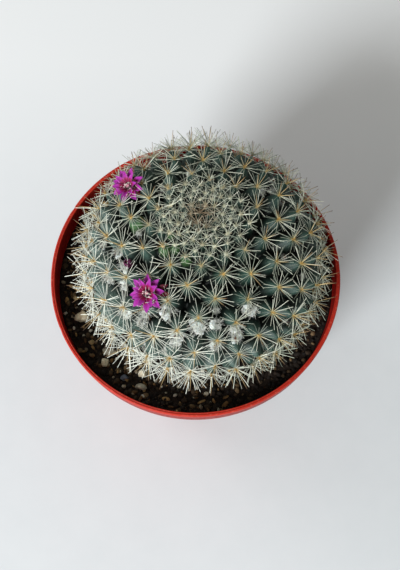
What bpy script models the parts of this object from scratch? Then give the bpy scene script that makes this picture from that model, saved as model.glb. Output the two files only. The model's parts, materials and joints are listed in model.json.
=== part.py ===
"""Round cactus in flower, in a thin-walled plastic pot of soil with a few stones.

Metres, +Z up. The origin is on the pot's axis, at the surface that the pot stands on.
"""

import math

import bmesh
import bpy
from mathutils import Matrix, Vector, noise

# Driving dimensions of the pot
POT_RADIUS = 0.060
POT_HEIGHT = 0.092
FOOT_RADIUS = 0.0425
WALL = 0.0010
LIP_WIDTH = 0.0016
LIP_HEIGHT = 0.0024
LIP_ROUND = 0.0005
COLLAR_HEIGHT = 0.0108
COLLAR_STEP = 0.0014
COLLAR_EASE = 0.0002
FLOOR_CORNER = 0.0016
FOOT_HEIGHT = 0.0025
FOOT_WIDTH = 0.0028
FOOT_DRAFT = 0.0004
FOOT_INSET = 0.0006
FOOT_GAPS = 4
FOOT_GAP_WIDTH = 0.009
FOOT_GAP_HEIGHT = 0.0019
FOOT_GAP_LENGTH = 0.012
DRAIN_RADIUS = 0.0040
DRAIN_RING = 0.026
DRAINS = 6
DRAIN_SIDES = 16
ROUND = 64

# Driving dimensions of the soil and the plant
SOIL_TOP = POT_HEIGHT - 0.0085
GAP = 0.0003
SOIL_GAP = 0.00045
SOCKET_GAP = 0.0006
ROOT_GAP = 0.00066
SOIL_ABOVE = 0.005
PLANT_X, PLANT_Y = 0.0035, 0.0023
BODY_RADIUS = 0.0476
BODY_RISE = 0.0297
BODY_DROP = 0.0370
BODY_CENTRE = POT_HEIGHT + 0.0126
# Smooth buried foot of the stem: radius, depth below the soil's top, sides
BURIED_FOOT = ((0.0402, -0.0010, 40), (0.0355, 0.0045, 40), (0.0260, 0.0095, 40), (0.0085, 0.0130, 20))

# Spiral of the tubercles
TURN = math.radians(137.587)
FIRST_TURN = math.radians(-33.5)
CROWN_LEAN_BACK = math.radians(4.4)
CROWN_LEAN_LEFT = math.radians(1.4)
SPIRAL_STEP = 0.00005
SPIRAL_END = 0.75 * math.pi
AREA_OLD = 101.4e-6
AREA_YOUNG = 12.1e-6
GROWN_AT = 0.0197
GROWN_OVER = 0.0020
LOWEST_TIP = 0.0055
SADDLE_DEPTH = 0.44
VALLEY_DEPTH = 0.66
AREOLE_RADIUS = 0.00055
SPINE_LENGTH = 0.0045
SHORT_SPINE = 0.0006
FLOWER_CLEARANCE = 0.0095

# Flowers, in degrees: name, place (angle from the crown, compass), facing (lean from upright, compass), size
FLOWERS = (
    ("flower_upper", (47.1, 144.1), (27.0, -158.0), 1.08),
    ("flower_lower", (40.6, -130.9), (26.0, -137.0), 1.08),
)
BUD = ("flower_bud", (40.0, -157.3), (24.0, -137.6), 0.9)
FLOWER_RISE = 0.0004
BUD_RISE = -0.0006
# Whorls of tepals: name, start radius, start height, angle of rise, length, width, curl, turn in tepals
WHORLS = (
    ("outer", 0.00185, 0.00062, math.radians(24.0), 0.0049, 0.0024, math.radians(30.0), 0.0),
    ("inner", 0.00150, 0.00150, math.radians(46.0), 0.0043, 0.0019, math.radians(34.0), 0.5),
)
TEPALS = 8
TEPAL_STATIONS = 6
TEPAL_THICKNESS = 0.00032
TUBE_LENGTH = 0.0072
TUBE_RADIUS = 0.0021
TUBE_SIDES = 16
THROAT_RADIUS = 0.0016
THROAT_DEPTH = 0.0034
ANTHERS = 12
ANTHER_HEIGHT = 0.0005
# Outlines from top to foot (radius, height): style with its stigma above the foot, and closed bud
STYLE_TOP = ((0.0, 0.0026), (0.0004, 0.0024), (0.0007, 0.0019), (0.00045, 0.0015), (0.00025, 0.0012))
BUD_OUTLINE = (
    (0.0, 0.0032),
    (0.0006, 0.0026),
    (0.0013, 0.0014),
    (0.0016, 0.0),
    (0.0013, -0.0014),
    (0.0010, -0.0040),
    (0.0008, -0.0058),
    (0.0, -0.0060),
)

# Stones: name, compass direction, distance from the pot's axis, length, width, height, turn
STONES = (
    ("stone_cream_large", -161.0, 0.0500, 0.0068, 0.0048, 0.0040, 25.0),
    ("stone_tan_small", -171.0, 0.0512, 0.0024, 0.0020, 0.0020, 0.0),
    ("stone_tan_long", -147.5, 0.0510, 0.0030, 0.0020, 0.0022, 40.0),
    ("stone_flat_grey", -138.5, 0.0478, 0.0082, 0.0034, 0.0022, -12.0),
    ("stone_wedge_cream", -136.0, 0.0519, 0.0044, 0.0034, 0.0026, 70.0),
    ("stone_slate", -124.5, 0.0515, 0.0040, 0.0026, 0.0022, 20.0),
    ("stone_round_cream", -118.0, 0.0462, 0.0044, 0.0038, 0.0032, 0.0),
    ("stone_oval_grey", -115.5, 0.0513, 0.0052, 0.0034, 0.0030, -5.0),
)
STONE_ROUGHNESS = 0.22
STONE_RISE = 0.12
DENT_SPARE = 0.0005

# Roots
ROOT_SIDES = 6
TAP_STEPS = 7
TAP_LENGTH = 0.046
TAP_SWAY = 0.0025
TAP_RADIUS = 0.0072
TAP_END_RADIUS = 0.0010
SIDE_ROOTS = 6
SIDE_ROOT_STEPS = 6
SIDE_ROOT_REACH = 0.030
SIDE_ROOT_RADIUS = 0.0017


def clear_scene():
    for thing in list(bpy.data.objects):
        bpy.data.objects.remove(thing, do_unlink=True)


def finish(name, colour, roughness, metallic=0.0):
    material = bpy.data.materials.new(name)
    material.use_nodes = True
    shader = material.node_tree.nodes["Principled BSDF"]
    shader.inputs["Base Color"].default_value = (*colour, 1.0)
    shader.inputs["Roughness"].default_value = roughness
    shader.inputs["Metallic"].default_value = metallic
    material.diffuse_color = (*colour, 1.0)
    return material


def make_object(name, bm, material):
    """The bmesh as a smooth-shaded object in the scene, its normals facing out."""
    bmesh.ops.recalc_face_normals(bm, faces=bm.faces)
    mesh = bpy.data.meshes.new(name)
    bm.to_mesh(mesh)
    bm.free()
    mesh.materials.append(material)
    mesh.shade_smooth()
    mesh.set_sharp_from_angle(angle=math.radians(35.0))
    made = bpy.data.objects.new(name, mesh)
    bpy.context.scene.collection.objects.link(made)
    return made


def as_cutter(thing):
    thing.hide_render = True
    thing.display_type = "WIRE"
    return thing


def cut(target, cutters, operation="DIFFERENCE"):
    """Joins or subtracts each of the cutters, with one Boolean modifier for each."""
    for cutter in cutters:
        as_cutter(cutter)
        modifier = target.modifiers.new(f"{operation.lower()} {cutter.name}", "BOOLEAN")
        modifier.operation = operation
        modifier.solver = "EXACT"
        modifier.object = cutter


def turned_mesh(profile, sides):
    """A bmesh of the open profile (radius, height), turned round Z. Points on the axis close it."""
    bm = bmesh.new()
    rings = []
    for radius, height in profile:
        if radius < 1e-7:
            rings.append([bm.verts.new((0.0, 0.0, height))])
            continue
        ring = []
        for i in range(sides):
            angle = 2 * math.pi * i / sides
            ring.append(bm.verts.new((radius * math.cos(angle), radius * math.sin(angle), height)))
        rings.append(ring)
    for upper, lower in zip(rings, rings[1:]):
        for i in range(sides):
            j = (i + 1) % sides
            corners = [upper[i % len(upper)], upper[j % len(upper)], lower[j % len(lower)], lower[i % len(lower)]]
            unique = list(dict.fromkeys(corners))
            bm.faces.new(unique)
    return bm


def tube_mesh(points, radii, sides):
    """A closed tube through the points, with flat ends. Each ring is turned as little as can be from the last."""
    bm = bmesh.new()
    rings = []
    across = (points[1] - points[0]).orthogonal()
    for i, (point, radius) in enumerate(zip(points, radii)):
        before = points[max(i - 1, 0)]
        after = points[min(i + 1, len(points) - 1)]
        along = (after - before).normalized()
        across = (across - across.dot(along) * along).normalized()
        other = along.cross(across)
        ring = []
        for k in range(sides):
            angle = 2 * math.pi * k / sides
            ring.append(bm.verts.new(point + radius * (math.cos(angle) * across + math.sin(angle) * other)))
        rings.append(ring)
    for first, second in zip(rings, rings[1:]):
        for k in range(sides):
            n = (k + 1) % sides
            bm.faces.new((first[k], first[n], second[n], second[k]))
    bm.faces.new(rings[0])
    bm.faces.new(rings[-1])
    return bm


# ---------------------------------------------------------------- pot


def collar_foot():
    return POT_HEIGHT - COLLAR_HEIGHT


def wall_radius(height):
    """Outer radius of the tapering wall below the collar."""
    top = POT_RADIUS - LIP_WIDTH + WALL - COLLAR_STEP
    share = height / collar_foot()
    return FOOT_RADIUS + (top - FOOT_RADIUS) * share


def inner_outline():
    """The pot's inside (radius, height), from the floor up to the lip."""
    floor = FOOT_HEIGHT + WALL
    step = collar_foot()
    collar = POT_RADIUS - LIP_WIDTH
    return [
        (wall_radius(floor) - WALL - FLOOR_CORNER, floor),
        (wall_radius(floor + FLOOR_CORNER) - WALL, floor + FLOOR_CORNER),
        (wall_radius(step) - WALL, step + COLLAR_EASE),
        (collar - 1.5 * COLLAR_EASE, step + COLLAR_EASE + COLLAR_STEP),
        (collar, POT_HEIGHT - 1.2 * LIP_ROUND),
    ]


def pot(material):
    """Shell with a floor on a foot ring, a stepped collar and a rolled lip."""
    floor = FOOT_HEIGHT + WALL
    step = collar_foot()
    lip_low = POT_HEIGHT - LIP_HEIGHT
    lip_in = POT_RADIUS - LIP_WIDTH
    foot_out = FOOT_RADIUS - FOOT_INSET
    profile = [(0.0, floor)] + inner_outline()
    profile += [
        (lip_in + LIP_ROUND, POT_HEIGHT - 0.2 * LIP_ROUND),
        (lip_in + 2.2 * LIP_ROUND, POT_HEIGHT),
        (POT_RADIUS - LIP_ROUND, POT_HEIGHT - 0.6 * LIP_ROUND),
        (POT_RADIUS, POT_HEIGHT - 2 * LIP_ROUND),
        (POT_RADIUS, lip_low + LIP_ROUND),
        (POT_RADIUS - LIP_ROUND, lip_low),
        (wall_radius(step) + COLLAR_STEP, step),
        (wall_radius(step) + 0.5 * COLLAR_EASE, step - 4 * COLLAR_EASE),
        (wall_radius(FOOT_INSET), FOOT_INSET),
        (foot_out, 0.0),
        (foot_out - FOOT_WIDTH, 0.0),
        (foot_out - FOOT_WIDTH - FOOT_DRAFT, FOOT_HEIGHT),
        (0.0, FOOT_HEIGHT),
    ]
    made = make_object("pot", turned_mesh(profile, ROUND), material)
    cut(made, drains() + foot_gaps())
    return made


def drains():
    """Cutters for one hole in the middle of the floor and a ring of them round it."""
    places = [(0.0, 0.0)]
    for i in range(DRAINS):
        angle = 2 * math.pi * (i + 0.5) / DRAINS
        places.append((DRAIN_RING * math.cos(angle), DRAIN_RING * math.sin(angle)))
    cutters = []
    for i, (x, y) in enumerate(places):
        bm = bmesh.new()
        round_rod = {"radius1": DRAIN_RADIUS, "radius2": DRAIN_RADIUS, "depth": 3 * FOOT_HEIGHT}
        bmesh.ops.create_cone(bm, cap_ends=True, segments=DRAIN_SIDES, **round_rod)
        bmesh.ops.translate(bm, verts=bm.verts, vec=(x, y, FOOT_HEIGHT))
        cutters.append(make_object(f"drain_cutter_{i}", bm, None))
    return cutters


def foot_gaps():
    """Cutters for the gaps that let water out from under the pot."""
    cutters = []
    for i in range(FOOT_GAPS):
        angle = 2 * math.pi * (i + 0.5) / FOOT_GAPS
        bm = bmesh.new()
        bmesh.ops.create_cube(bm, size=1.0)
        bmesh.ops.scale(bm, verts=bm.verts, vec=(FOOT_GAP_LENGTH, FOOT_GAP_WIDTH, 2 * FOOT_GAP_HEIGHT))
        bmesh.ops.translate(bm, verts=bm.verts, vec=(FOOT_RADIUS, 0.0, 0.0))
        bmesh.ops.rotate(bm, verts=bm.verts, cent=(0, 0, 0), matrix=Matrix.Rotation(angle, 3, "Z"))
        cutters.append(make_object(f"foot_cutter_{i}", bm, None))
    return cutters


# ---------------------------------------------------------------- plant body


def surface(polar, compass, raised=0.0):
    """Point on the dome that the tubercles' tips lie on. polar is its angle parameter from the crown."""
    tall = BODY_RISE if math.cos(polar) > 0 else BODY_DROP
    wide = BODY_RADIUS + raised
    return Vector(
        (
            PLANT_X + wide * math.sin(polar) * math.cos(compass),
            PLANT_Y + wide * math.sin(polar) * math.sin(compass),
            BODY_CENTRE + (tall + raised) * math.cos(polar),
        )
    )


def outward(polar, compass):
    tall = BODY_RISE if math.cos(polar) > 0 else BODY_DROP
    return Vector(
        (
            math.sin(polar) * math.cos(compass) / BODY_RADIUS,
            math.sin(polar) * math.sin(compass) / BODY_RADIUS,
            math.cos(polar) / tall,
        )
    ).normalized()


def tubercle_places():
    """(polar, compass) of each tubercle, youngest first: each is one TURN on and takes the area its age gives it."""
    lean = Matrix.Rotation(-CROWN_LEAN_LEFT, 3, "Y") @ Matrix.Rotation(-CROWN_LEAN_BACK, 3, "X")
    places = []
    polar = 0.0
    along = 0.0
    count = 0.0
    born = 0
    while polar < SPIRAL_END:
        tall = BODY_RISE if math.cos(polar) > 0 else BODY_DROP
        polar += SPIRAL_STEP / math.hypot(BODY_RADIUS * math.cos(polar), tall * math.sin(polar))
        along += SPIRAL_STEP
        share = 1 / (1 + math.exp((GROWN_AT - along) / GROWN_OVER))
        area = AREA_YOUNG + (AREA_OLD - AREA_YOUNG) * share
        count += 2 * math.pi * BODY_RADIUS * math.sin(polar) * SPIRAL_STEP / area
        if count < born + 1:
            continue
        born += 1
        compass = FIRST_TURN + born * TURN
        level = math.sin(polar) * Vector((math.cos(compass), math.sin(compass), 0.0))
        leant = lean @ Vector((level.x, level.y, math.cos(polar)))
        place = (math.acos(leant.z), math.atan2(leant.y, leant.x))
        if surface(*place).z > SOIL_TOP + LOWEST_TIP:
            places.append(place)
    return places


def stem(flower_frames, material):
    """Tubercled dome on a smooth buried foot. Its tips carry one spine each, short where a flower lies over them."""
    bm = bmesh.new()
    tips = {}
    for polar, compass in tubercle_places():
        tips[bm.verts.new(surface(polar, compass))] = outward(polar, compass)
    for radius, depth, sides in BURIED_FOOT:
        for i in range(sides):
            angle = 2 * math.pi * i / sides
            level = (PLANT_X + radius * math.cos(angle), PLANT_Y + radius * math.sin(angle))
            bm.verts.new((*level, SOIL_TOP - depth))
    hull = bmesh.ops.convex_hull(bm, input=bm.verts)
    bmesh.ops.delete(bm, geom=hull["geom_interior"], context="VERTS")
    valleys_between(bm, tips)
    for tip, direction in tips.items():
        grow_spine(bm, tip, direction, spine_length(tip.co, flower_frames))
    return make_object("stem", bm, material)


def valleys_between(bm, tips):
    """Sinks the middle of every edge and face between tips, which leaves a cone under each tip."""
    edges = [edge for edge in bm.edges if edge.verts[0] in tips and edge.verts[1] in tips]
    faces = [face for face in bm.faces if all(vert in tips for vert in face.verts)]
    corners = {face: [vert for vert in face.verts] for face in faces}
    middles = {}
    for edge in edges:
        first, second = edge.verts
        inward = (tips[first] + tips[second]).normalized() * edge.calc_length()
        new = bmesh.utils.edge_split(edge, first, 0.5)[1]
        new.co -= SADDLE_DEPTH * inward
        middles[frozenset((first, second))] = new
    for face, (a, b, c) in corners.items():
        ab, bc, ca = middles[frozenset((a, b))], middles[frozenset((b, c))], middles[frozenset((c, a))]
        girth = (a.co - b.co).length + (b.co - c.co).length + (c.co - a.co).length
        floor = (a.co + b.co + c.co) / 3 - (tips[a] + tips[b] + tips[c]).normalized() * VALLEY_DEPTH * girth / 3
        bm.faces.remove(face)
        centre = bm.verts.new(floor)
        for corner, before, after in ((a, ca, ab), (b, ab, bc), (c, bc, ca)):
            bm.faces.new((corner, after, before))
            bm.faces.new((before, after, centre))
    for face in [face for face in bm.faces if len(face.verts) > 3]:
        sunk = [vert for vert in face.verts if vert in middles.values()]
        low = [vert for vert in face.verts if vert not in tips and vert not in sunk]
        bmesh.utils.face_split(face, sunk[0], low[0])


def spine_length(place, flower_frames):
    for frame in flower_frames:
        if (place - frame.translation).length < FLOWER_CLEARANCE:
            return SHORT_SPINE
    return SPINE_LENGTH


def grow_spine(bm, tip, direction, length):
    """Rings the tip with the edge of its felted pad, then draws the tip out into a spine."""
    ring = set()
    for edge in list(tip.link_edges):
        share = AREOLE_RADIUS / edge.calc_length()
        ring.add(bmesh.utils.edge_split(edge, tip, share)[1])
    for face in list(tip.link_faces):
        ends = [vert for vert in face.verts if vert in ring]
        bmesh.utils.face_split(face, *ends)
    tip.co += direction * length


# ---------------------------------------------------------------- flowers


def flower_frame(place, facing, rise):
    """Matrix at the flower's opening, just over the tubercles' tips, with +Z out along the tube."""
    lean, compass = (math.radians(angle) for angle in facing)
    axis = Vector((math.sin(lean) * math.cos(compass), math.sin(lean) * math.sin(compass), math.cos(lean)))
    sideways = axis.cross(Vector((0.0, 0.0, 1.0))).normalized()
    across = axis.cross(sideways)
    rotation = Matrix((sideways, across, axis)).transposed().to_4x4()
    opening = surface(*(math.radians(angle) for angle in place), rise)
    return Matrix.Translation(opening) @ rotation


def tube_profile(size, spare=0.0):
    """Outer line of the floral tube (radius, height), its opening at height 0."""
    return [
        (TUBE_RADIUS * size + spare, spare),
        (TUBE_RADIUS * 0.82 * size + spare, -0.30 * TUBE_LENGTH * size),
        (TUBE_RADIUS * 0.60 * size + spare, -0.65 * TUBE_LENGTH * size),
        (TUBE_RADIUS * 0.62 * size + spare, -0.92 * TUBE_LENGTH * size),
        (TUBE_RADIUS * 0.35 * size + spare, -TUBE_LENGTH * size - spare),
    ]


def flower_tube(name, size, frame, material):
    """The cup and tube that the tepals stand on."""
    throat = THROAT_RADIUS * size
    depth = THROAT_DEPTH * size
    profile = [(0.0, -depth), (throat * 0.7, -depth), (throat, -depth * 0.6), (throat, 0.0)]
    profile += tube_profile(size) + [(0.0, -TUBE_LENGTH * size)]
    bm = turned_mesh(profile, TUBE_SIDES)
    bmesh.ops.transform(bm, matrix=frame, verts=bm.verts)
    return make_object(name, bm, material)


def socket_cutter(name, size, frame):
    """The room that a flower's tube takes up between the tubercles."""
    above = 2 * TUBE_RADIUS
    profile = [(0.0, above)] + [(TUBE_RADIUS * size + 2 * GAP, above)] + tube_profile(size, 2 * GAP)[1:]
    profile += [(0.0, -TUBE_LENGTH * size - 2 * GAP)]
    bm = turned_mesh(profile, TUBE_SIDES)
    bmesh.ops.transform(bm, matrix=frame, verts=bm.verts)
    return make_object(name, bm, None)


def tepal_width(share):
    """Width of a tepal as a share of its widest, from its narrow base (share 0) to its pointed tip (share 1)."""
    belly = math.sin(math.pi * (0.10 + 0.78 * share)) ** 1.1
    return (0.32 + 0.68 * belly) * (1.0 - 0.93 * share**5)


def tepal(name, frame, compass, start, rise, length, width, curl, material):
    """One pointed petal: a keeled blade that leaves the rim at an angle of rise and bends down by curl."""
    bm = bmesh.new()
    rings = []
    place = Vector((start[0], 0.0, start[1]))
    pitch = rise
    steps = TEPAL_STATIONS - 1
    for i in range(TEPAL_STATIONS):
        share = i / steps
        half = 0.5 * width * tepal_width(share)
        thick = 0.5 * TEPAL_THICKNESS * (1.0 - 0.6 * share)
        up = Vector((-math.sin(pitch), 0.0, math.cos(pitch)))
        side = Vector((0.0, half, 0.0))
        cup = up * half * 0.35
        rings.append([bm.verts.new(place + at) for at in (-side + cup, -up * thick, side + cup, up * thick)])
        place = place + length / steps * Vector((math.cos(pitch), 0.0, math.sin(pitch)))
        pitch -= curl / steps
    for first, second in zip(rings, rings[1:]):
        for k in range(4):
            n = (k + 1) % 4
            bm.faces.new((first[k], first[n], second[n], second[k]))
    bm.faces.new(rings[0])
    bm.faces.new(rings[-1])
    bmesh.ops.transform(bm, matrix=frame @ Matrix.Rotation(compass, 4, "Z"), verts=bm.verts)
    return make_object(name, bm, material)


def stamens(name, size, frame, material):
    """Ring of filaments in the throat, its anthers as a toothed upper edge."""
    bm = bmesh.new()
    outer, inner = THROAT_RADIUS * size - GAP, THROAT_RADIUS * size * 0.55
    low = -THROAT_DEPTH * size * 0.55
    top = ANTHER_HEIGHT
    rings = []
    for radius, height in ((inner, low), (inner, top), (outer, 1.2 * top), (outer, low)):
        ring = []
        for i in range(2 * ANTHERS):
            angle = math.pi * i / ANTHERS
            tooth = ANTHER_HEIGHT if i % 2 and height > 0 else 0.0
            ring.append(bm.verts.new((radius * math.cos(angle), radius * math.sin(angle), height + tooth)))
        rings.append(ring)
    for first, second in zip(rings, rings[1:] + rings[:1]):
        for i in range(2 * ANTHERS):
            j = (i + 1) % (2 * ANTHERS)
            bm.faces.new((first[i], first[j], second[j], second[i]))
    bmesh.ops.transform(bm, matrix=frame, verts=bm.verts)
    return make_object(name, bm, material)


def stigma(name, size, frame, material):
    """Style that stands up through the stamens, with a knobbed stigma."""
    foot = -THROAT_DEPTH * size + GAP
    style = STYLE_TOP[-1][0]
    profile = list(STYLE_TOP) + [(style, foot + style), (1.4 * style, foot), (0.0, foot)]
    bm = turned_mesh(profile, 10)
    bmesh.ops.transform(bm, matrix=frame, verts=bm.verts)
    return make_object(name, bm, material)


def flower(name, size, frame, finishes):
    """An open flower: tube, two whorls of tepals, stamens and stigma."""
    flower_tube(f"{name}_tube", size, frame, finishes["tube"])
    stamens(f"{name}_stamens", size, frame, finishes["stamens"])
    stigma(f"{name}_stigma", size, frame, finishes["stigma"])
    for whorl, radius, height, rise, length, width, curl, offset in WHORLS:
        for i in range(TEPALS):
            compass = 2 * math.pi * (i + offset) / TEPALS
            start = (radius * size, height)
            label = f"{name}_{whorl}_tepal_{i + 1}"
            tepal(label, frame, compass, start, rise, length * size, width * size, curl, finishes["tepals"])


def bud(name, size, frame, material):
    """A closed flower: a short tube that swells into a pointed bud."""
    bm = turned_mesh([(radius * size, height * size) for radius, height in BUD_OUTLINE], TUBE_SIDES)
    bmesh.ops.transform(bm, matrix=frame, verts=bm.verts)
    return make_object(name, bm, material)


# ---------------------------------------------------------------- soil, stones and roots


def stone_mesh(seed, length, width, height, turn, place, spare=0.0):
    """A rounded stone with knocked-off corners, half sunk in the soil."""
    bm = bmesh.new()
    bmesh.ops.create_icosphere(bm, subdivisions=2, radius=1.0)
    for vert in bm.verts:
        rough = noise.noise(vert.co * 1.3 + Vector((seed * 7.1, 0.0, 0.0)))
        vert.co *= 1.0 + STONE_ROUGHNESS * rough
        vert.co.x *= 0.5 * length + spare
        vert.co.y *= 0.5 * width + spare
        vert.co.z *= 0.5 * height + spare
    matrix = Matrix.Translation(place) @ Matrix.Rotation(turn, 4, "Z")
    bmesh.ops.transform(bm, matrix=matrix, verts=bm.verts)
    return bm


def stones(finishes):
    """The loose stones, and a cutter for the dent that each makes in the soil."""
    cutters = []
    for seed, (name, compass, distance, length, width, height, turn) in enumerate(STONES):
        angle = math.radians(compass)
        level = SOIL_TOP + STONE_RISE * height
        place = Vector((distance * math.cos(angle), distance * math.sin(angle), level))
        shape = (seed, length, width, height, math.radians(turn), place)
        make_object(name, stone_mesh(*shape), finishes[seed % len(finishes)])
        cutters.append(make_object(f"{name}_dent", stone_mesh(*shape, spare=DENT_SPARE), None))
    return cutters


def root_lines():
    """(points, radii) of the tap root and of each side root, in world coordinates."""
    top = Vector((PLANT_X, PLANT_Y, SOIL_TOP - BURIED_FOOT[-1][1] - GAP))
    tap, radii = [], []
    for i in range(TAP_STEPS + 1):
        share = i / TAP_STEPS
        sway = TAP_SWAY * math.sin(2.6 * max(0.0, share - 1 / TAP_STEPS))
        tap.append(top + Vector((sway, -0.6 * sway, -TAP_LENGTH * share)))
        radii.append(TAP_END_RADIUS + (TAP_RADIUS - TAP_END_RADIUS) * (1 - share) ** 1.2)
    lines = [(tap, radii)]
    for k in range(SIDE_ROOTS):
        compass = k * TURN
        start = tap[1 + k % 4]
        points, radii = [], []
        for i in range(SIDE_ROOT_STEPS + 1):
            share = i / SIDE_ROOT_STEPS
            reach = SIDE_ROOT_REACH * share * (0.8 + 0.04 * k)
            bend = compass + 0.7 * math.sin(2.0 * share + k)
            fall = -reach * (0.4 + 0.4 * share)
            points.append(start + Vector((reach * math.cos(bend), reach * math.sin(bend), fall)))
            radii.append(SIDE_ROOT_RADIUS * (1 - 0.62 * share))
        lines.append((points, radii))
    return lines


def roots(material):
    """Tap root with its side roots joined to it."""
    branches = []
    for i, (points, radii) in enumerate(root_lines()):
        branches.append(make_object(f"root_part_{i}", tube_mesh(points, radii, ROOT_SIDES), material))
    tap = branches[0]
    tap.name = "roots"
    cut(tap, branches[1:], "UNION")
    return tap


def root_channels():
    """Cutters a little wider and longer than the roots."""
    cutters = []
    for i, (points, radii) in enumerate(root_lines()):
        beyond = points[-1] + (points[-1] - points[-2]).normalized() * ROOT_GAP
        longer = points + [beyond]
        wider = [radius + ROOT_GAP for radius in radii + radii[-1:]]
        if i == 0:
            longer = [points[0] + Vector((0.0, 0.0, SOIL_ABOVE))] + longer
            wider = [wider[0]] + wider
        cutters.append(make_object(f"root_channel_{i}", tube_mesh(longer, wider, ROOT_SIDES), None))
    return cutters


def stem_socket():
    """Cutter for the bowl that the buried part of the stem sits in."""
    neck, deepest, _ = BURIED_FOOT[-1]
    floor = SOIL_TOP - deepest - SOCKET_GAP
    profile = [(0.0, SOIL_TOP + SOIL_ABOVE), (BURIED_FOOT[0][0] + SOCKET_GAP, SOIL_TOP + SOIL_ABOVE)]
    profile += [(radius + SOCKET_GAP, SOIL_TOP - depth) for radius, depth, _ in BURIED_FOOT[:-1]]
    profile += [(neck + SOCKET_GAP, floor), (0.0, floor)]
    bm = turned_mesh(profile, BURIED_FOOT[0][2])
    bmesh.ops.translate(bm, verts=bm.verts, vec=(PLANT_X, PLANT_Y, 0.0))
    return make_object("stem_socket", bm, None)


def soil_body(cutters, material):
    """Potting mix that fills the pot to just below the lip, hollowed for all that sits in it."""
    inside = inner_outline()
    collar, step, wall, corner = (
        (radius - SOIL_GAP, height) for radius, height in (inside[3], inside[2], inside[1], inside[0])
    )
    bottom = corner[1] + GAP
    profile = [(0.0, SOIL_TOP), (collar[0], SOIL_TOP), (collar[0], collar[1] + COLLAR_EASE), step, wall]
    profile += [(corner[0], bottom), (0.0, bottom)]
    made = make_object("soil", turned_mesh(profile, ROUND), material)
    cut(made, cutters)
    return made


def build():
    clear_scene()
    plastic = finish("terracotta plastic", (0.62, 0.07, 0.035), 0.38)
    soil_finish = finish("potting mix", (0.035, 0.024, 0.018), 0.95)
    green = finish("cactus skin", (0.070, 0.150, 0.110), 0.55)
    root_finish = finish("root bark", (0.50, 0.38, 0.24), 0.85)
    cream = finish("cream stone", (0.62, 0.56, 0.44), 0.80)
    grey = finish("grey stone", (0.34, 0.33, 0.30), 0.80)
    flower_finishes = {
        "tube": finish("flower tube", (0.42, 0.05, 0.20), 0.50),
        "tepals": finish("tepals", (0.55, 0.04, 0.50), 0.45),
        "stamens": finish("stamens", (0.85, 0.62, 0.66), 0.60),
        "stigma": finish("stigma", (0.90, 0.78, 0.70), 0.55),
    }
    bud_finish = finish("bud", (0.28, 0.02, 0.14), 0.50)

    frames = []
    sockets = []
    for name, place, facing, size in FLOWERS:
        frame = flower_frame(place, facing, FLOWER_RISE)
        frames.append(frame)
        sockets.append(socket_cutter(f"{name}_socket", size, frame))
        flower(name, size, frame, flower_finishes)
    name, place, facing, size = BUD
    frame = flower_frame(place, facing, BUD_RISE)
    sockets.append(socket_cutter(f"{name}_socket", size, frame))
    bud(name, size, frame, bud_finish)

    cut(stem(frames, green), sockets)
    pot(plastic)
    roots(root_finish)
    soil_body([stem_socket()] + root_channels() + stones((cream, grey)), soil_finish)


build()
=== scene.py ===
"""Portrait of a round cactus in flower: thin pot, gritty soil with stones, spiny stem, two flowers, a bud.

Metres, +Z up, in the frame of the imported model. Each section makes one piece, or one group of like pieces.
"""

import json
import math
import random

import bmesh
import bpy
from mathutils import Matrix, Vector, noise


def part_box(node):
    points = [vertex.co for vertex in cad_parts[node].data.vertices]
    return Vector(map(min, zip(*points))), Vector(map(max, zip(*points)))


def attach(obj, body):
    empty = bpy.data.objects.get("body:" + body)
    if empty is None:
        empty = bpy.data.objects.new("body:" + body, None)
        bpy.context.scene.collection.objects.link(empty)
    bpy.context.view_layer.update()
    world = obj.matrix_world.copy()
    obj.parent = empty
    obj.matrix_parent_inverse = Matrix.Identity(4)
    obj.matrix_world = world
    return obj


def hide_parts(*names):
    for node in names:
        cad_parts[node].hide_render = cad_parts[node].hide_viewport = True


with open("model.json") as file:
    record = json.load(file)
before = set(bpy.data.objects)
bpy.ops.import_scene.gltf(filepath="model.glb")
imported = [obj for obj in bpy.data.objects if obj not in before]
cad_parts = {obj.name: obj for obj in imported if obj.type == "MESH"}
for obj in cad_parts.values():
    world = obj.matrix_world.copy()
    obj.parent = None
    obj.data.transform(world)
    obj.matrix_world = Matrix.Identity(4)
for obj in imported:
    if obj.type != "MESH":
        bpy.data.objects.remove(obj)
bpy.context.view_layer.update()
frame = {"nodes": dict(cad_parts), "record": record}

nodes = frame["nodes"]


# ---------------------------------------------------------------- camera, light and table
# A normal lens looks down on the plant from in front, seventy degrees above level.
# One broad window light comes from the front left, and the pale room fills the shadows.

lip_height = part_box("pot")[1].z
ELEVATION = math.radians(70.29)
ROLL = math.radians(0.37)
CAMERA_FROM_LIP = Vector((0.0018, -0.1168, 0.3105))
FOCAL_LENGTH = 50.5
SENSOR = 36.0
WINDOW_TINT = (0.975, 0.988, 1.0)
TABLE_SIZE = 6.0
# The table is painted lighter from the near to the far distance: painted light toward the back.
PAINTED_LIGHT_NEAR, PAINTED_LIGHT_FAR = 0.03, 0.17


def add_object(name, data):
    thing = bpy.data.objects.new(name, data)
    bpy.context.scene.collection.objects.link(thing)
    return thing


level_up = Vector((0.0, math.sin(ELEVATION), math.cos(ELEVATION)))
camera_right = math.cos(ROLL) * Vector((1.0, 0.0, 0.0)) - math.sin(ROLL) * level_up
camera_up = math.sin(ROLL) * Vector((1.0, 0.0, 0.0)) + math.cos(ROLL) * level_up
turned = Matrix((camera_right, camera_up, camera_right.cross(camera_up))).transposed().to_4x4()
lens = bpy.data.cameras.new("portrait_lens")
lens.lens = FOCAL_LENGTH
lens.sensor_width = SENSOR
lens.clip_start = 0.01
camera = add_object("portrait_camera", lens)
camera.matrix_world = Matrix.Translation(Vector((0.0, 0.0, lip_height)) + CAMERA_FROM_LIP) @ turned
bpy.context.scene.camera = camera

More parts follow.
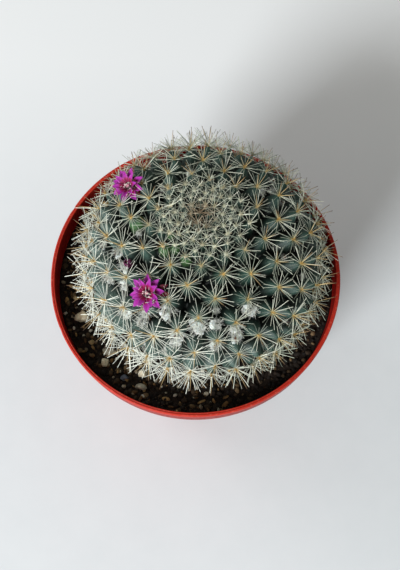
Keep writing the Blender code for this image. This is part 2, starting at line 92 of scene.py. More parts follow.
for name, place, size, power in (
    ("window_left", (-1.64, -2.14, 1.62), 1.10, 145.0),
    ("window_behind", (-1.10, 0.55, 0.95), 0.80, 5.0),
):
    light = bpy.data.lights.new(name, "AREA")
    light.size = size
    light.energy = power
    light.color = WINDOW_TINT
    window = add_object(name, light)
    window.location = place
    toward_lip = Vector((0.0, 0.0, lip_height)) - Vector(place)
    window.rotation_euler = toward_lip.to_track_quat("-Z", "Y").to_euler()

sky = bpy.data.worlds.new("pale_room")
sky.use_nodes = True
sky.node_tree.nodes["Background"].inputs["Color"].default_value = (1.0, 0.965, 0.90, 1.0)
sky.node_tree.nodes["Background"].inputs["Strength"].default_value = 0.345
bpy.context.scene.world = sky
bpy.context.scene.view_settings.view_transform = "Standard"


def put(tree, kind, given=None, output=None, **settings):
    """Adds a node and returns an output. Inputs are given by name or number: a value, or a field to link."""
    node = tree.nodes.new(kind)
    for setting, value in settings.items():
        setattr(node, setting, value)
    for key, source in (given or {}).items():
        if isinstance(key, int):
            socket = node.inputs[key]
        else:
            socket = next(s for s in node.inputs if s.name == key and s.enabled)
        if isinstance(source, Field):
            tree.links.new(source.socket, socket)
        else:
            socket.default_value = source
    chosen = next((s for s in node.outputs if s.enabled and output in (None, s.name)), None)
    return Field(tree, chosen)


class Field:
    """An output of a node. Arithmetic on it adds the nodes that work the result out."""

    def __init__(self, tree, socket):
        self.tree = tree
        self.socket = socket
        self.is_vector = socket.type == "VECTOR"

    def calc(self, operation, other=None):
        """One step of arithmetic, on vectors where this is one."""
        given = {0: self}
        if other is not None:
            given["Scale" if operation == "SCALE" else 1] = other
        kind = "ShaderNodeVectorMath" if self.is_vector else "ShaderNodeMath"
        return put(self.tree, kind, given, operation=operation)

    def __add__(self, other):
        return self.calc("ADD", other)

    def __sub__(self, other):
        return self.calc("SUBTRACT", other)

    def __rsub__(self, number):
        return put(self.tree, "ShaderNodeMath", {0: number, 1: self}, operation="SUBTRACT")

    def __truediv__(self, other):
        return self.calc("DIVIDE", other)

    def __mul__(self, other):
        stretched = isinstance(other, tuple) or getattr(other, "is_vector", False)
        return self.calc("SCALE" if self.is_vector and not stretched else "MULTIPLY", other)

    def axis(self, letter):
        return put(self.tree, "ShaderNodeSeparateXYZ", {"Vector": self}, output=letter)

    def remap(self, low, high, new_low=0.0, new_high=1.0):
        """low..high brought to new_low..new_high, and held there."""
        given = {"Value": self, "From Min": low, "From Max": high, "To Min": new_low, "To Max": new_high}
        return put(self.tree, "ShaderNodeMapRange", given)

    def mixed(self, factor, colour, way="MIX"):
        """This colour with a share of another, which is a field or (red, green, blue)."""
        if isinstance(colour, tuple):
            colour = (*colour, 1.0)
        given = {"Factor": factor, "A": self, "B": colour}
        return put(self.tree, "ShaderNodeMix", given, output="Result", data_type="RGBA", blend_type=way)

    def ramp(self, *stops):
        """Colours over this value. Stops are (position, (red, green, blue))."""
        ramped = put(self.tree, "ShaderNodeValToRGB", {"Fac": self}, output="Color")
        elements = ramped.socket.node.color_ramp.elements
        while len(elements) < len(stops):
            elements.new(0.5)
        for element, (position, colour) in zip(elements, stops):
            element.position = position
            element.color = (*colour, 1.0)
        return ramped


def on_piece(tree):
    """Place in the piece's own coordinates."""
    return put(tree, "ShaderNodeTexCoord", output="Object")


def noise_at(place, scale, detail, roughness=0.5):
    given = {"Vector": place, "Scale": scale, "Detail": detail, "Roughness": roughness}
    return put(place.tree, "ShaderNodeTexNoise", given, output="Fac")


def grain(tree, scale, detail=4.0, roughness=0.55, stretch=None):
    """Noise over the piece's own coordinates, in cycles for each metre."""
    place = on_piece(tree)
    if stretch:
        place = put(tree, "ShaderNodeMapping", {"Vector": place, "Scale": stretch})
    return noise_at(place, scale, detail, roughness)


def painted(tree, label):
    """The value that the mesh stores under a label."""
    return put(tree, "ShaderNodeAttribute", output="Fac", attribute_name=label)


def new_finish(name, roughness, **constants):
    """A material with these constants on its Principled BSDF. Returns it, its tree and the shader."""
    material = bpy.data.materials.new(name)
    material.use_nodes = True
    tree = material.node_tree
    shader = tree.nodes["Principled BSDF"]
    shader.inputs["Roughness"].default_value = roughness
    for label, value in constants.items():
        shader.inputs[label.replace("_", " ")].default_value = value
    return material, tree, shader


def coat(shader, tone, height=None, bump=0.0, strength=1.0, roughness=None):
    """Gives the shader a colour, a bump of that size in metres, and a varying roughness."""
    tree = shader.id_data
    tree.links.new(tone.socket, shader.inputs["Base Color"])
    if height:
        normal = put(tree, "ShaderNodeBump", {"Height": height, "Distance": bump, "Strength": strength})
        tree.links.new(normal.socket, shader.inputs["Normal"])
    if roughness:
        tree.links.new(roughness.socket, shader.inputs["Roughness"])


def natural_variation():
    """Shader group: a colour that wanders between two tones in soft patches with a fine grain over them."""
    group = bpy.data.node_groups.new("natural variation", "ShaderNodeTree")
    for label in ("Light", "Dark"):
        group.interface.new_socket(label, in_out="INPUT", socket_type="NodeSocketColor")
    for label in ("Patches", "Grain"):
        group.interface.new_socket(label, in_out="INPUT", socket_type="NodeSocketFloat")
    group.interface.new_socket("Colour", in_out="OUTPUT", socket_type="NodeSocketColor")
    group.interface.new_socket("Height", in_out="OUTPUT", socket_type="NodeSocketFloat")
    given = {socket.name: Field(group, socket) for socket in group.nodes.new("NodeGroupInput").outputs}
    both = grain(group, given["Patches"], 3.0) * 0.55 + grain(group, given["Grain"], 5.0, 0.65) * 0.45
    tone = given["Dark"].mixed(both.remap(0.36, 0.64), given["Light"])
    leave = group.nodes.new("NodeGroupOutput")
    group.links.new(tone.socket, leave.inputs["Colour"])
    group.links.new(both.socket, leave.inputs["Height"])
    return group


VARIATION = natural_variation()


def varied(tree, dark, light, patches, fine):
    """(colour, height) of the natural variation between two tones."""
    node = tree.nodes.new("ShaderNodeGroup")
    node.node_tree = VARIATION
    node.inputs["Dark"].default_value = (*dark, 1.0)
    node.inputs["Light"].default_value = (*light, 1.0)
    node.inputs["Patches"].default_value = patches
    node.inputs["Grain"].default_value = fine
    return Field(tree, node.outputs["Colour"]), Field(tree, node.outputs["Height"])


def mottled(name, roughness, dark, light, patches, fine, bump, **constants):
    """A finish that wanders between two tones, with its grain raised as a bump."""
    material, tree, shader = new_finish(name, roughness, **constants)
    coat(shader, *varied(tree, dark, light, patches, fine), bump)
    return material


def mesh_object(name, bm, material=None):
    """The bmesh as a smooth-shaded object at the origin."""
    mesh = bpy.data.meshes.new(name)
    bm.to_mesh(mesh)
    bm.free()
    mesh.shade_smooth()
    if material:
        mesh.materials.append(material)
    return add_object(name, mesh)


table_finish, tree, shader = new_finish("pale table", 0.60)
tone, _ = varied(tree, (0.594, 0.634, 0.655), (0.626, 0.664, 0.684), 4.0, 60.0)
# Painted light: the table's tone grows lighter toward the back.
coat(shader, tone.mixed(on_piece(tree).axis("Y").remap(PAINTED_LIGHT_NEAR, PAINTED_LIGHT_FAR), (0.720, 0.745, 0.756)))
bm = bmesh.new()
bmesh.ops.create_grid(bm, x_segments=1, y_segments=1, size=TABLE_SIZE / 2)
mesh_object("table", bm, table_finish)


# ---------------------------------------------------------------- pot
# A thin polypropylene plant pot, moulded in one shot: tapering wall, stepped collar, doubled lip,
# foot ring with four gaps, and drain holes. Its lip is nicked and rubbed pale where pots are stacked.

POT_RADIUS = 0.060
FOOT_RADIUS = 0.0425
WALL = 0.0010
LIP_WIDTH = 0.0016
LIP_HEIGHT = 0.0024
BEAD = 0.00032
BEAD_DROP = 0.00012
ROLL_ROUND = 0.00055
LIP_UNDERSIDE = 0.0003
COLLAR_HEIGHT = 0.0108
COLLAR_STEP = 0.0014
EDGE_ROUND = 0.0004
SHOULDER = (0.0016, 0.0022)
SHOULDER_ROUND = 0.0013
SHOULDER_TOP = 0.0040
BEAD_FOOT = 0.0030
FLOOR_CORNER = 0.0020
FLOOR_RINGS = (0.012, 0.034)
FOOT_HEIGHT = 0.0025
FOOT_WIDTH = 0.0028
FOOT_INSET = 0.0006
FOOT_GAPS = 4
FOOT_GAP = (0.012, 0.009, 0.0038)
DRAIN_RADIUS = 0.0040
DRAIN_RING = 0.026
DRAINS = 6
DRAIN_SIDES = 40
POT_SIDES = 288
NICKS = 9
NICK_DEPTH = 0.00035
NICK_WIDTH = math.radians(0.8)
collar_foot = lip_height - COLLAR_HEIGHT
lip_in = POT_RADIUS - LIP_WIDTH
lip_low = lip_height - LIP_HEIGHT
floor_top = FOOT_HEIGHT + WALL
foot_out = FOOT_RADIUS - FOOT_INSET


def wall_radius(height):
    """Outer radius of the tapering wall below the collar."""
    top = POT_RADIUS - LIP_WIDTH + WALL - COLLAR_STEP
    return FOOT_RADIUS + (top - FOOT_RADIUS) * height / collar_foot


def wall_points(inset, shares):
    """Points on the tapering wall, at these shares of its height, that far in from its outer side."""
    return [(wall_radius(collar_foot * share) - inset, collar_foot * share) for share in shares]


def on_circle(radius, number, count, centre=(0.0, 0.0)):
    """(x, y) of one of count even places on a circle. The number may be a fraction."""
    angle = 2 * math.pi * number / count
    return centre[0] + radius * math.cos(angle), centre[1] + radius * math.sin(angle)


def arc(centre, radius, start, end, steps):
    """Points (radius, height) on a round stretch of an outline. In degrees, from straight out, upward."""
    turns = [start + (end - start) * i / steps for i in range(steps + 1)]
    return [on_circle(radius, turn, 360, centre) for turn in turns]


def turned_mesh(profile, sides):
    """A bmesh of the outline (radius, height) turned round the upright axis. Points on the axis close it."""
    bm = bmesh.new()
    rings = []
    for radius, height in profile:
        if radius < 1e-7:
            rings.append([bm.verts.new((0.0, 0.0, height))])
        else:
            rings.append([bm.verts.new((*on_circle(radius, i, sides), height)) for i in range(sides)])
    for upper, lower in zip(rings, rings[1:]):
        for i in range(sides):
            j = (i + 1) % sides
            ways = ((upper, i), (upper, j), (lower, j), (lower, i))
            bm.faces.new(dict.fromkeys(ring[k % len(ring)] for ring, k in ways))
    bmesh.ops.recalc_face_normals(bm, faces=bm.faces)
    return bm


floor_bend = (wall_radius(floor_top) - WALL - FLOOR_CORNER, floor_top + FLOOR_CORNER)
collar_edge = (wall_radius(collar_foot) + COLLAR_STEP - EDGE_ROUND, collar_foot + EDGE_ROUND)
pot_outline = [(0.0, floor_top)] + [(ring, floor_top) for ring in FLOOR_RINGS]
pot_outline += arc(floor_bend, FLOOR_CORNER, -90, -8, 6)
pot_outline += wall_points(WALL, (0.25, 0.5, 0.75, 0.985))
pot_outline += arc((lip_in - SHOULDER[0], collar_foot + SHOULDER[1]), SHOULDER_ROUND, -60, -5, 4)
pot_outline += [(lip_in, collar_foot + SHOULDER_TOP), (lip_in, lip_height - BEAD_FOOT)]
pot_outline += arc((lip_in + BEAD, lip_height - BEAD - BEAD_DROP), BEAD, 180, 40, 8)
pot_outline += arc((POT_RADIUS - ROLL_ROUND, lip_height - ROLL_ROUND), ROLL_ROUND, 140, 0, 10)
pot_outline += arc((POT_RADIUS - LIP_UNDERSIDE, lip_low + LIP_UNDERSIDE), LIP_UNDERSIDE, 0, -90, 4)
pot_outline += arc(collar_edge, EDGE_ROUND, 0, -80, 4)
pot_outline += wall_points(0.0, (0.97, 0.75, 0.5, 0.25, 0.02))
pot_outline += arc((foot_out - EDGE_ROUND, EDGE_ROUND), EDGE_ROUND, 0, -90, 3)
pot_outline += [(foot_out - FOOT_WIDTH, 0.0), (foot_out - FOOT_WIDTH - EDGE_ROUND, FOOT_HEIGHT)]
pot_outline += [(ring, FOOT_HEIGHT) for ring in reversed(FLOOR_RINGS)] + [(0.0, FOOT_HEIGHT)]

plastic, tree, shader = new_finish("orange red plastic", 0.46, Specular_IOR_Level=0.14)
tone, height = varied(tree, (0.355, 0.018, 0.010), (0.420, 0.027, 0.014), 45.0, 2600.0)
above = on_piece(tree).axis("Z")
flat = put(tree, "ShaderNodeMapping", {"Vector": on_piece(tree), "Scale": (1.0, 1.0, 0.0)})
from_axis = put(tree, "ShaderNodeVectorMath", {0: flat}, output="Value", operation="LENGTH")
rub = grain(tree, 900.0, 6.0, 0.7, (1.0, 1.0, 0.25))
worn = rub.remap(0.55, 0.72) * (above.remap(lip_height - 0.0012, lip_height) * 0.35 + 0.05)
tone = tone.mixed(worn, (0.70, 0.26, 0.17))
# Brown soil dust on the wall, denser deeper down: a soil stain, and partly painted shade inside the pot.
deeper_down = above.remap(lip_height - 0.0015, lip_height - 0.0085)
over_soil = above.remap(lip_height - 0.0110, lip_height - 0.0085)
soil_dust_and_shade = grain(tree, 700.0, 7.0, 0.7).remap(0.60, 0.68) * deeper_down * (over_soil * 0.55)
tone = tone.mixed(soil_dust_and_shade, (0.060, 0.035, 0.020))
# Everything below the lip, inside and out, is painted darker: painted shade under the lip.
tone = tone.mixed(above.remap(lip_low - 0.0004, lip_low - 0.0016) * 0.7, (0.17, 0.008, 0.006))
# The inner wall between the collar and the lip is painted darker: painted shade inside the pot.
inner = from_axis.remap(lip_in + 0.0005, lip_in + 0.0001) * above.remap(collar_foot, collar_foot + 0.001)
inner = inner * above.remap(lip_height - 0.0004, lip_height - 0.0022)
tone = tone.mixed(inner * 0.9, (0.30, 0.010, 0.007))
coat(shader, tone, height, 0.00004, 0.6, (rub + soil_dust_and_shade).remap(0.35, 0.75, 0.42, 0.60))

bm = turned_mesh(pot_outline, POT_SIDES)
chance = random.Random(4)
nick_angles = [chance.uniform(-math.pi, math.pi) for _ in range(NICKS)]
for vert in bm.verts:
    if vert.co.z > lip_low and math.hypot(vert.co.x, vert.co.y) > POT_RADIUS - ROLL_ROUND:
        angle = math.atan2(vert.co.y, vert.co.x)
        for nick in nick_angles:
            off = (angle - nick + math.pi) % (2 * math.pi) - math.pi
            dent = NICK_DEPTH * math.exp(-((off / NICK_WIDTH) ** 2)) * (vert.co.z - lip_low) / LIP_HEIGHT
            vert.co -= dent * Vector((math.cos(angle), math.sin(angle), 0.5))
pot = mesh_object("pot_shell", bm, plastic)

bm = bmesh.new()
holes = [(0.0, 0.0)] + [on_circle(DRAIN_RING, i + 0.5, DRAINS) for i in range(DRAINS)]
rod_shape = {"cap_ends": True, "segments": DRAIN_SIDES, "depth": 0.01}
for x, y in holes:
    rod = bmesh.ops.create_cone(bm, radius1=DRAIN_RADIUS, radius2=DRAIN_RADIUS, **rod_shape)
    bmesh.ops.translate(bm, verts=rod["verts"], vec=(x, y, FOOT_HEIGHT))
for i in range(FOOT_GAPS):
    block = bmesh.ops.create_cube(bm, size=1.0)["verts"]
    bmesh.ops.scale(bm, verts=block, vec=FOOT_GAP)
    bmesh.ops.translate(bm, verts=block, vec=(FOOT_RADIUS, 0.0, 0.0))
    turn = Matrix.Rotation(2 * math.pi * (i + 0.5) / FOOT_GAPS, 3, "Z")
    bmesh.ops.rotate(bm, verts=block, cent=(0, 0, 0), matrix=turn)
cutter = mesh_object("cutter", bm)
modifier = pot.modifiers.new("cut", "BOOLEAN")
modifier.operation = "DIFFERENCE"
modifier.object = cutter
graph = bpy.context.evaluated_depsgraph_get()
cut_mesh = bpy.data.meshes.new_from_object(pot.evaluated_get(graph), depsgraph=graph)
pot.modifiers.clear()
pot.data = cut_mesh
bpy.data.objects.remove(cutter)
pot.data.set_sharp_from_angle(angle=math.radians(40.0))
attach(pot, "root")
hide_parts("pot")


# ---------------------------------------------------------------- soil
# Dark potting mix of peat, bark and grit, hand-filled to just below the lip and crumbly on top.
# The body follows the inside of the pot, with a bowl where the plant's foot sits.

soil_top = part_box("soil")[1].z
PLANT_X, PLANT_Y = 0.0035, 0.0023
BURIED_FOOT = ((0.0402, -0.0010, 40), (0.0355, 0.0045, 40), (0.0260, 0.0095, 40), (0.0085, 0.0130, 20))
SOIL_GAP = 0.00045
BOWL_GAP = 0.0006
SOIL_SIDES = 320
SOIL_STEP = 0.0007
CRUMB_HEIGHT = 0.0011
LOW_BEND = 0.008
FLOOR_GAP = 0.0003
CORNER_CUT = 0.0016

soil_finish, tree, shader = new_finish("potting mix", 0.92, Specular_IOR_Level=0.25)
tone, height = varied(tree, (0.0022, 0.0014, 0.0010), (0.018, 0.010, 0.006), 380.0, 3600.0)
fleck = grain(tree, 1500.0, 3.0, 0.6).remap(0.66, 0.72)
coat(shader, tone.mixed(fleck, (0.16, 0.095, 0.040)), height, 0.0006)


def bowl_floor(x, y):
    """Height of the bowl that the plant's foot sits in, or nothing outside it."""
    distance = math.hypot(x - PLANT_X, y - PLANT_Y)
    for (outer, high, _), (inner, low, _) in zip(BURIED_FOOT, BURIED_FOOT[1:]):
        if inner + BOWL_GAP <= distance <= outer + BOWL_GAP:
            share = (distance - inner - BOWL_GAP) / (outer - inner)
            return soil_top - low - BOWL_GAP + (low - high) * share
    if distance < BURIED_FOOT[-1][0] + BOWL_GAP:
        return soil_top - BURIED_FOOT[-1][1] - BOWL_GAP
    return None


def crumbs(x, y):
    """Rise of the crumbly top over its lowest level."""
    place = Vector((x, y, 0.0))
    lumps = noise.noise(place * 330.0) + 0.6 * noise.noise(place * 800.0) + 0.35 * noise.noise(place * 1900.0)
    return CRUMB_HEIGHT * (0.55 + 0.6 * lumps)


soil_rim = lip_in - SOIL_GAP
inside_wall = WALL + SOIL_GAP
bottom = floor_top + FLOOR_GAP
soil_outline = [(0.0, bottom), (wall_radius(floor_top) - CORNER_CUT - inside_wall, bottom)]
soil_outline += [(wall_radius(height) - inside_wall, height) for height in (LOW_BEND, collar_foot)]
soil_outline += [(soil_rim - FLOOR_GAP, collar_foot + CRUMB_HEIGHT), (soil_rim, soil_top - SOIL_STEP)]
steps = int(soil_rim / SOIL_STEP)
soil_outline += [(soil_rim * (1 - i / steps), soil_top) for i in range(1, steps)] + [(0.0, soil_top)]
bm = turned_mesh(soil_outline, SOIL_SIDES)
for vert in bm.verts:
    if vert.co.z >= soil_top - 1e-6:
        bowl = bowl_floor(vert.co.x, vert.co.y)
        top = soil_top - CRUMB_HEIGHT + crumbs(vert.co.x, vert.co.y)
        vert.co.z = top if bowl is None else min(top, bowl)
soil = mesh_object("soil_body", bm, soil_finish)
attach(soil, "root")
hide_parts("soil")


# ---------------------------------------------------------------- grit and bark on the soil
# Loose bits that lie on the mix: dark peat crumbs, golden bark slivers, and pale sharp grit.
# They fell there when the pot was filled, so they lie every way up and partly sunk.

BIT_KINDS = 5
SOCKET_KINDS = {int: "NodeSocketInt", float: "NodeSocketFloat", tuple: "NodeSocketVector"}


def new_tree(name, **inputs):
    """A geometry node tree with these named inputs. Returns it and its inputs as fields, by label."""
    tree = bpy.data.node_groups.new(name, "GeometryNodeTree")
    tree.interface.new_socket("Geometry", in_out="INPUT", socket_type="NodeSocketGeometry")
    tree.interface.new_socket("Geometry", in_out="OUTPUT", socket_type="NodeSocketGeometry")
    for label, value in inputs.items():
        kind = SOCKET_KINDS[type(value)]
        socket = tree.interface.new_socket(label.replace("_", " "), in_out="INPUT", socket_type=kind)
        socket.default_value = value
    entry = tree.nodes.new("NodeGroupInput")
    return tree, {socket.name: Field(tree, socket) for socket in entry.outputs if socket.name}


def end_tree(tree, geometry, material):
    """Closes the tree: instances made real, smooth shading, the finish, and the output."""
    real = put(tree, "GeometryNodeRealizeInstances", {"Geometry": geometry})
    smooth = put(tree, "GeometryNodeSetShadeSmooth", {"Geometry": real})
    coated = put(tree, "GeometryNodeSetMaterial", {"Geometry": smooth, "Material": material})
    tree.links.new(coated.socket, tree.nodes.new("NodeGroupOutput").inputs[0])


def grow(name, carrier, tree, values=None, keep_carrier=False):
    """Runs the tree on the carrier and returns the result as a plain mesh object."""
    modifier = carrier.modifiers.new(tree.name, "NODES")
    modifier.node_group = tree
    for item in tree.interface.items_tree:
        if item.in_out == "INPUT" and values and item.name in values:
            modifier[item.identifier] = values[item.name]
    graph = bpy.context.evaluated_depsgraph_get()
    graph.update()
    grown_carrier = carrier.evaluated_get(graph)
    mesh = bpy.data.meshes.new_from_object(grown_carrier, preserve_all_data_layers=True, depsgraph=graph)
    mesh.name = name
    carrier.modifiers.remove(modifier)
    if not keep_carrier:
        bpy.data.objects.remove(carrier)
    return add_object(name, mesh)


def position(tree):
    return put(tree, "GeometryNodeInputPosition")


def moved(tree, geometry, **change):
    """The geometry with a new Position, or with an Offset added."""
    return put(tree, "GeometryNodeSetPosition", {"Geometry": geometry, **change})


def ball(tree, radius, subdivisions):
    return put(tree, "GeometryNodeMeshIcoSphere", {"Radius": radius, "Subdivisions": subdivisions})


def stored(tree, geometry, label, value, domain="POINT"):
    given = {"Geometry": geometry, "Name": label, "Value": value}
    return put(tree, "GeometryNodeStoreNamedAttribute", given, data_type="FLOAT", domain=domain)


def random_value(tree, low, high, seed, kind="FLOAT"):
    return put(tree, "FunctionNodeRandomValue", {"Min": low, "Max": high, "Seed": seed}, data_type=kind)


def placed(tree, points, instance, turn, size, **choices):
    """An instance on every point."""
    given = {"Points": points, "Instance": instance, "Rotation": turn, "Scale": size, **choices}
    return put(tree, "GeometryNodeInstanceOnPoints", given)


def shaded(tree, tone, darkest, patches, fine):
    """(colour, height) of the tone under a mottle that darkens it down to a share."""
    light, height = varied(tree, darkest, (1.0, 1.0, 1.0), patches, fine)
    return tone.mixed(1.0, light, "MULTIPLY"), height


def scatter_tree(material):
    """Tree that strews broken bits over the upward faces of a mesh, outside the round foot of the plant."""
    tree, given = new_tree(
        "strewn bits",
        Spacing=0.001,
        Density=500000.0,
        Smallest=0.0004,
        Largest=0.0010,
        Proportions=(1.0, 0.8, 0.6),
        Jaggedness=0.6,
        Plant_Radius=0.037,
        Plant=(PLANT_X, PLANT_Y, 0.0),
        Outer_Radius=0.0566,
        Sink=0.0001,
        Toward=(0.0, 0.0, 0.0),
        Beyond=-1.0,
        Seed=1,
    )
    here = position(tree)
    level = (1.0, 1.0, 0.0)
    clear = ((here - given["Plant"]) * level).calc("LENGTH").calc("GREATER_THAN", given["Plant Radius"])
    inside = (here * level).calc("LENGTH").calc("LESS_THAN", given["Outer Radius"])
    upward = put(tree, "GeometryNodeInputNormal").axis("Z").calc("GREATER_THAN", 0.1)
    chosen_side = here.calc("DOT_PRODUCT", given["Toward"]).calc("GREATER_THAN", given["Beyond"])
    strewing = {
        "Mesh": given["Geometry"],
        "Selection": clear * inside * upward * chosen_side,
        "Distance Min": given["Spacing"],
        "Density Max": given["Density"],
        "Seed": given["Seed"],
    }
    points = put(tree, "GeometryNodeDistributePointsOnFaces", strewing, distribute_method="POISSON")
    kinds = tree.nodes.new("GeometryNodeGeometryToInstance")
    for kind in range(BIT_KINDS):
        swell = noise_at(position(tree) + (3.7 * kind, 0.0, 1.9 * kind), 1.1, 2.0)
        swell = (swell - 0.5) * given["Jaggedness"] + 1.0
        lump = moved(tree, ball(tree, 1.0, 2), Position=position(tree) * swell * given["Proportions"])
        tree.links.new(lump.socket, kinds.inputs[0])
    turn = random_value(tree, (-3.1, -3.1, -3.1), (3.1, 3.1, 3.1), given["Seed"] + 1, "FLOAT_VECTOR")
    size = random_value(tree, given["Smallest"], given["Largest"], given["Seed"] + 2)
    bits = placed(tree, points, Field(tree, kinds.outputs[0]), turn, size, **{"Pick Instance": True})
    bits = stored(tree, bits, "shade", random_value(tree, 0.0, 1.0, given["Seed"] + 3), "INSTANCE")
    down = put(tree, "ShaderNodeCombineXYZ", {"Z": given["Sink"] * -1.0})
    sinking = {"Instances": bits, "Translation": down, "Local Space": False}
    end_tree(tree, put(tree, "GeometryNodeTranslateInstances", sinking), material)
    return tree


CRUMB_TONES = (
    (0.0, (0.004, 0.0025, 0.0016)),
    (0.60, (0.020, 0.012, 0.007)),
    (0.88, (0.075, 0.045, 0.020)),
    (1.0, (0.17, 0.11, 0.052)),
)
BARK_TONES = ((0.0, (0.07, 0.034, 0.012)), (0.6, (0.20, 0.11, 0.038)), (1.0, (0.40, 0.25, 0.10)))
GRIT_TONES = ((0.0, (0.20, 0.16, 0.10)), (0.5, (0.42, 0.37, 0.27)), (1.0, (0.60, 0.57, 0.48)))
CRUMB_VALUES = {"Spacing": 0.0014, "Smallest": 0.00045, "Largest": 0.0017, "Seed": 3}
BARK_VALUES = {"Spacing": 0.0024, "Density": 140000.0, "Smallest": 0.0007, "Largest": 0.0019, "Seed": 11}
BARK_VALUES |= {"Toward": (-1.0, -0.2, 0.0), "Beyond": -0.004, "Sink": -0.0003}
BARK_VALUES |= {"Proportions": (1.0, 0.50, 0.30)}
GRIT_VALUES = {"Spacing": 0.0030, "Density": 70000.0, "Smallest": 0.0004, "Largest": 0.0012, "Seed": 29}
GRIT_VALUES |= {"Toward": (-1.0, -0.35, 0.0), "Beyond": 0.010, "Sink": -0.0003, "Jaggedness": 1.1}
for name, tones, fine, values in (
    ("peat_crumbs", CRUMB_TONES, 4000.0, CRUMB_VALUES),
    ("bark_slivers", BARK_TONES, 3000.0, BARK_VALUES),
    ("pale_grit", GRIT_TONES, 3000.0, GRIT_VALUES),
):
    finish, tree, shader = new_finish(name.replace("_", " "), 0.85, Specular_IOR_Level=0.3)
    tone = painted(tree, "shade").ramp(*tones)
    coat(shader, *shaded(tree, tone, (0.55, 0.55, 0.55), fine / 4, fine), 0.0002)
    bits = grow(name, soil, scatter_tree(finish), values, keep_carrier=True)
    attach(bits, "root")


# ---------------------------------------------------------------- stones
# Eight loose stones, most of them at the front left: river-worn pebbles and chips of cream, tan
# and grey rock. Each lies half sunk in the mix.

STONE_FINENESS = 2
CHIPS = 13
CHIP_DEPTHS = (0.60, 0.88)
STONE_TONES = {
    "cream_stone": ((0.40, 0.33, 0.21), (0.78, 0.71, 0.53), (0.27, 0.18, 0.09)),
    "tan_stone": ((0.26, 0.17, 0.07), (0.50, 0.38, 0.20), (0.14, 0.08, 0.03)),
    "grey_stone": ((0.20, 0.18, 0.13), (0.52, 0.48, 0.38), (0.12, 0.09, 0.06)),
    "slate_stone": ((0.045, 0.055, 0.075), (0.14, 0.16, 0.20), (0.22, 0.22, 0.22)),
}
stone_finishes = {}
for slot, (dark, light, vein) in STONE_TONES.items():
    stone_finishes[slot], tree, shader = new_finish(slot.replace("_", " "), 0.74, Specular_IOR_Level=0.35)
    tone, height = varied(tree, dark, light, 500.0, 3800.0)
    lines = grain(tree, 420.0, 6.0, 0.6, (1.0, 0.4, 1.6)).remap(0.58, 0.66)
    coat(shader, tone.mixed(lines * 0.6, vein), height, 0.00035)


def merged_copy(node):
    """A bmesh of the plain node with its loose triangles joined."""
    bm = bmesh.new()
    bm.from_mesh(nodes[node].data)
    bmesh.ops.remove_doubles(bm, verts=bm.verts, dist=1e-6)
    return bm


def worn_stone(node, seed):
    """The plain stone with more faces, knocked-off corners and a pitted skin."""
    bm = merged_copy(node)
    low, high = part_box(node)
    middle = (low + high) / 2
    half = (high - low) / 2
    chance = random.Random(seed)
    planes = []
    for _ in range(CHIPS):
        direction = Vector([chance.uniform(least, 1) for least in (-1, -1, -0.4)]).normalized()
        planes.append((direction, chance.uniform(*CHIP_DEPTHS)))
    bmesh.ops.subdivide_edges(bm, edges=bm.edges, cuts=STONE_FINENESS, use_grid_fill=True, smooth=0.9)
    for vert in bm.verts:
        unit = Vector([(vert.co[i] - middle[i]) / half[i] for i in range(3)])
        for direction, depth in planes:
            over = unit.dot(direction) - depth
            if over > 0:
                unit -= direction * over * 0.85
        shift = Vector((seed * 5.3, 0.0, 0.0))
        unit *= 1.0 + 0.05 * noise.noise(unit * 2.5 + shift) + 0.025 * noise.noise(unit * 7.0 + shift)
        vert.co = Vector([middle[i] + unit[i] * half[i] for i in range(3)])
    return bm


stone_slots = {}
for part in frame["record"]["subparts"]:
    if part["node"].startswith("stone_"):
        stone_slots[part["node"]] = part["material_slot"]
for seed, (node, slot) in enumerate(sorted(stone_slots.items())):
    stone = mesh_object(node.replace("stone_", "pebble_"), worn_stone(node, seed), stone_finishes[slot])
    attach(stone, "root")
    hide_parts(node)


# ---------------------------------------------------------------- roots
# A short tap root and its side roots, hidden in the mix. They grew from the stem's neck.

bark = mottled("root bark", 0.85, (0.26, 0.17, 0.09), (0.56, 0.43, 0.27), 500.0, 3500.0, 0.0003)
root_piece = mesh_object("root_system", merged_copy("roots"), bark)
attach(root_piece, "root")
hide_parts("roots")


# ---------------------------------------------------------------- stem
# One grown body. A tubercle stands at every step of a golden-angle spiral, small at the crown
# and full size down the sides, with deep clefts between. The foot is smooth where the soil covers it.

BODY_RADIUS = 0.0476
BODY_RISE = 0.0297
BODY_DROP = 0.0370
BODY_CENTRE = lip_height + 0.0126
TURN = math.radians(137.587)
FIRST_TURN = math.radians(-33.5)
CROWN_LEAN_BACK = math.radians(4.4)
CROWN_LEAN_LEFT = math.radians(1.4)
SPIRAL_STEP = 0.00005
SPIRAL_END = 0.75 * math.pi
AREA_OLD = 101.4e-6
AREA_YOUNG = 12.1e-6
GROWN_AT = 0.0197
GROWN_OVER = 0.0020
LOWEST_TIP = 0.0055
FULL_SPACING = math.sqrt(AREA_OLD * 2 / math.sqrt(3))
CENTRE = Vector((PLANT_X, PLANT_Y, BODY_CENTRE))
UP = Vector((0.0, 0.0, 1.0))


def ray(polar, compass):
    """Unit vector at an angle from upright, toward a compass angle."""
    return Vector((math.sin(polar) * math.cos(compass), math.sin(polar) * math.sin(compass), math.cos(polar)))


def height_scale(polar):
    """Half height of the dome: it is flatter above its widest level than below."""
    return BODY_RISE if math.cos(polar) > 0 else BODY_DROP


def surface(polar, compass):
    """Point on the dome that the tubercles' tips lie on."""
    return CENTRE + ray(polar, compass) * Vector((BODY_RADIUS, BODY_RADIUS, height_scale(polar)))


def outward(polar, compass):
    unit = ray(polar, compass)
    return Vector((unit.x / BODY_RADIUS, unit.y / BODY_RADIUS, unit.z / height_scale(polar))).normalized()


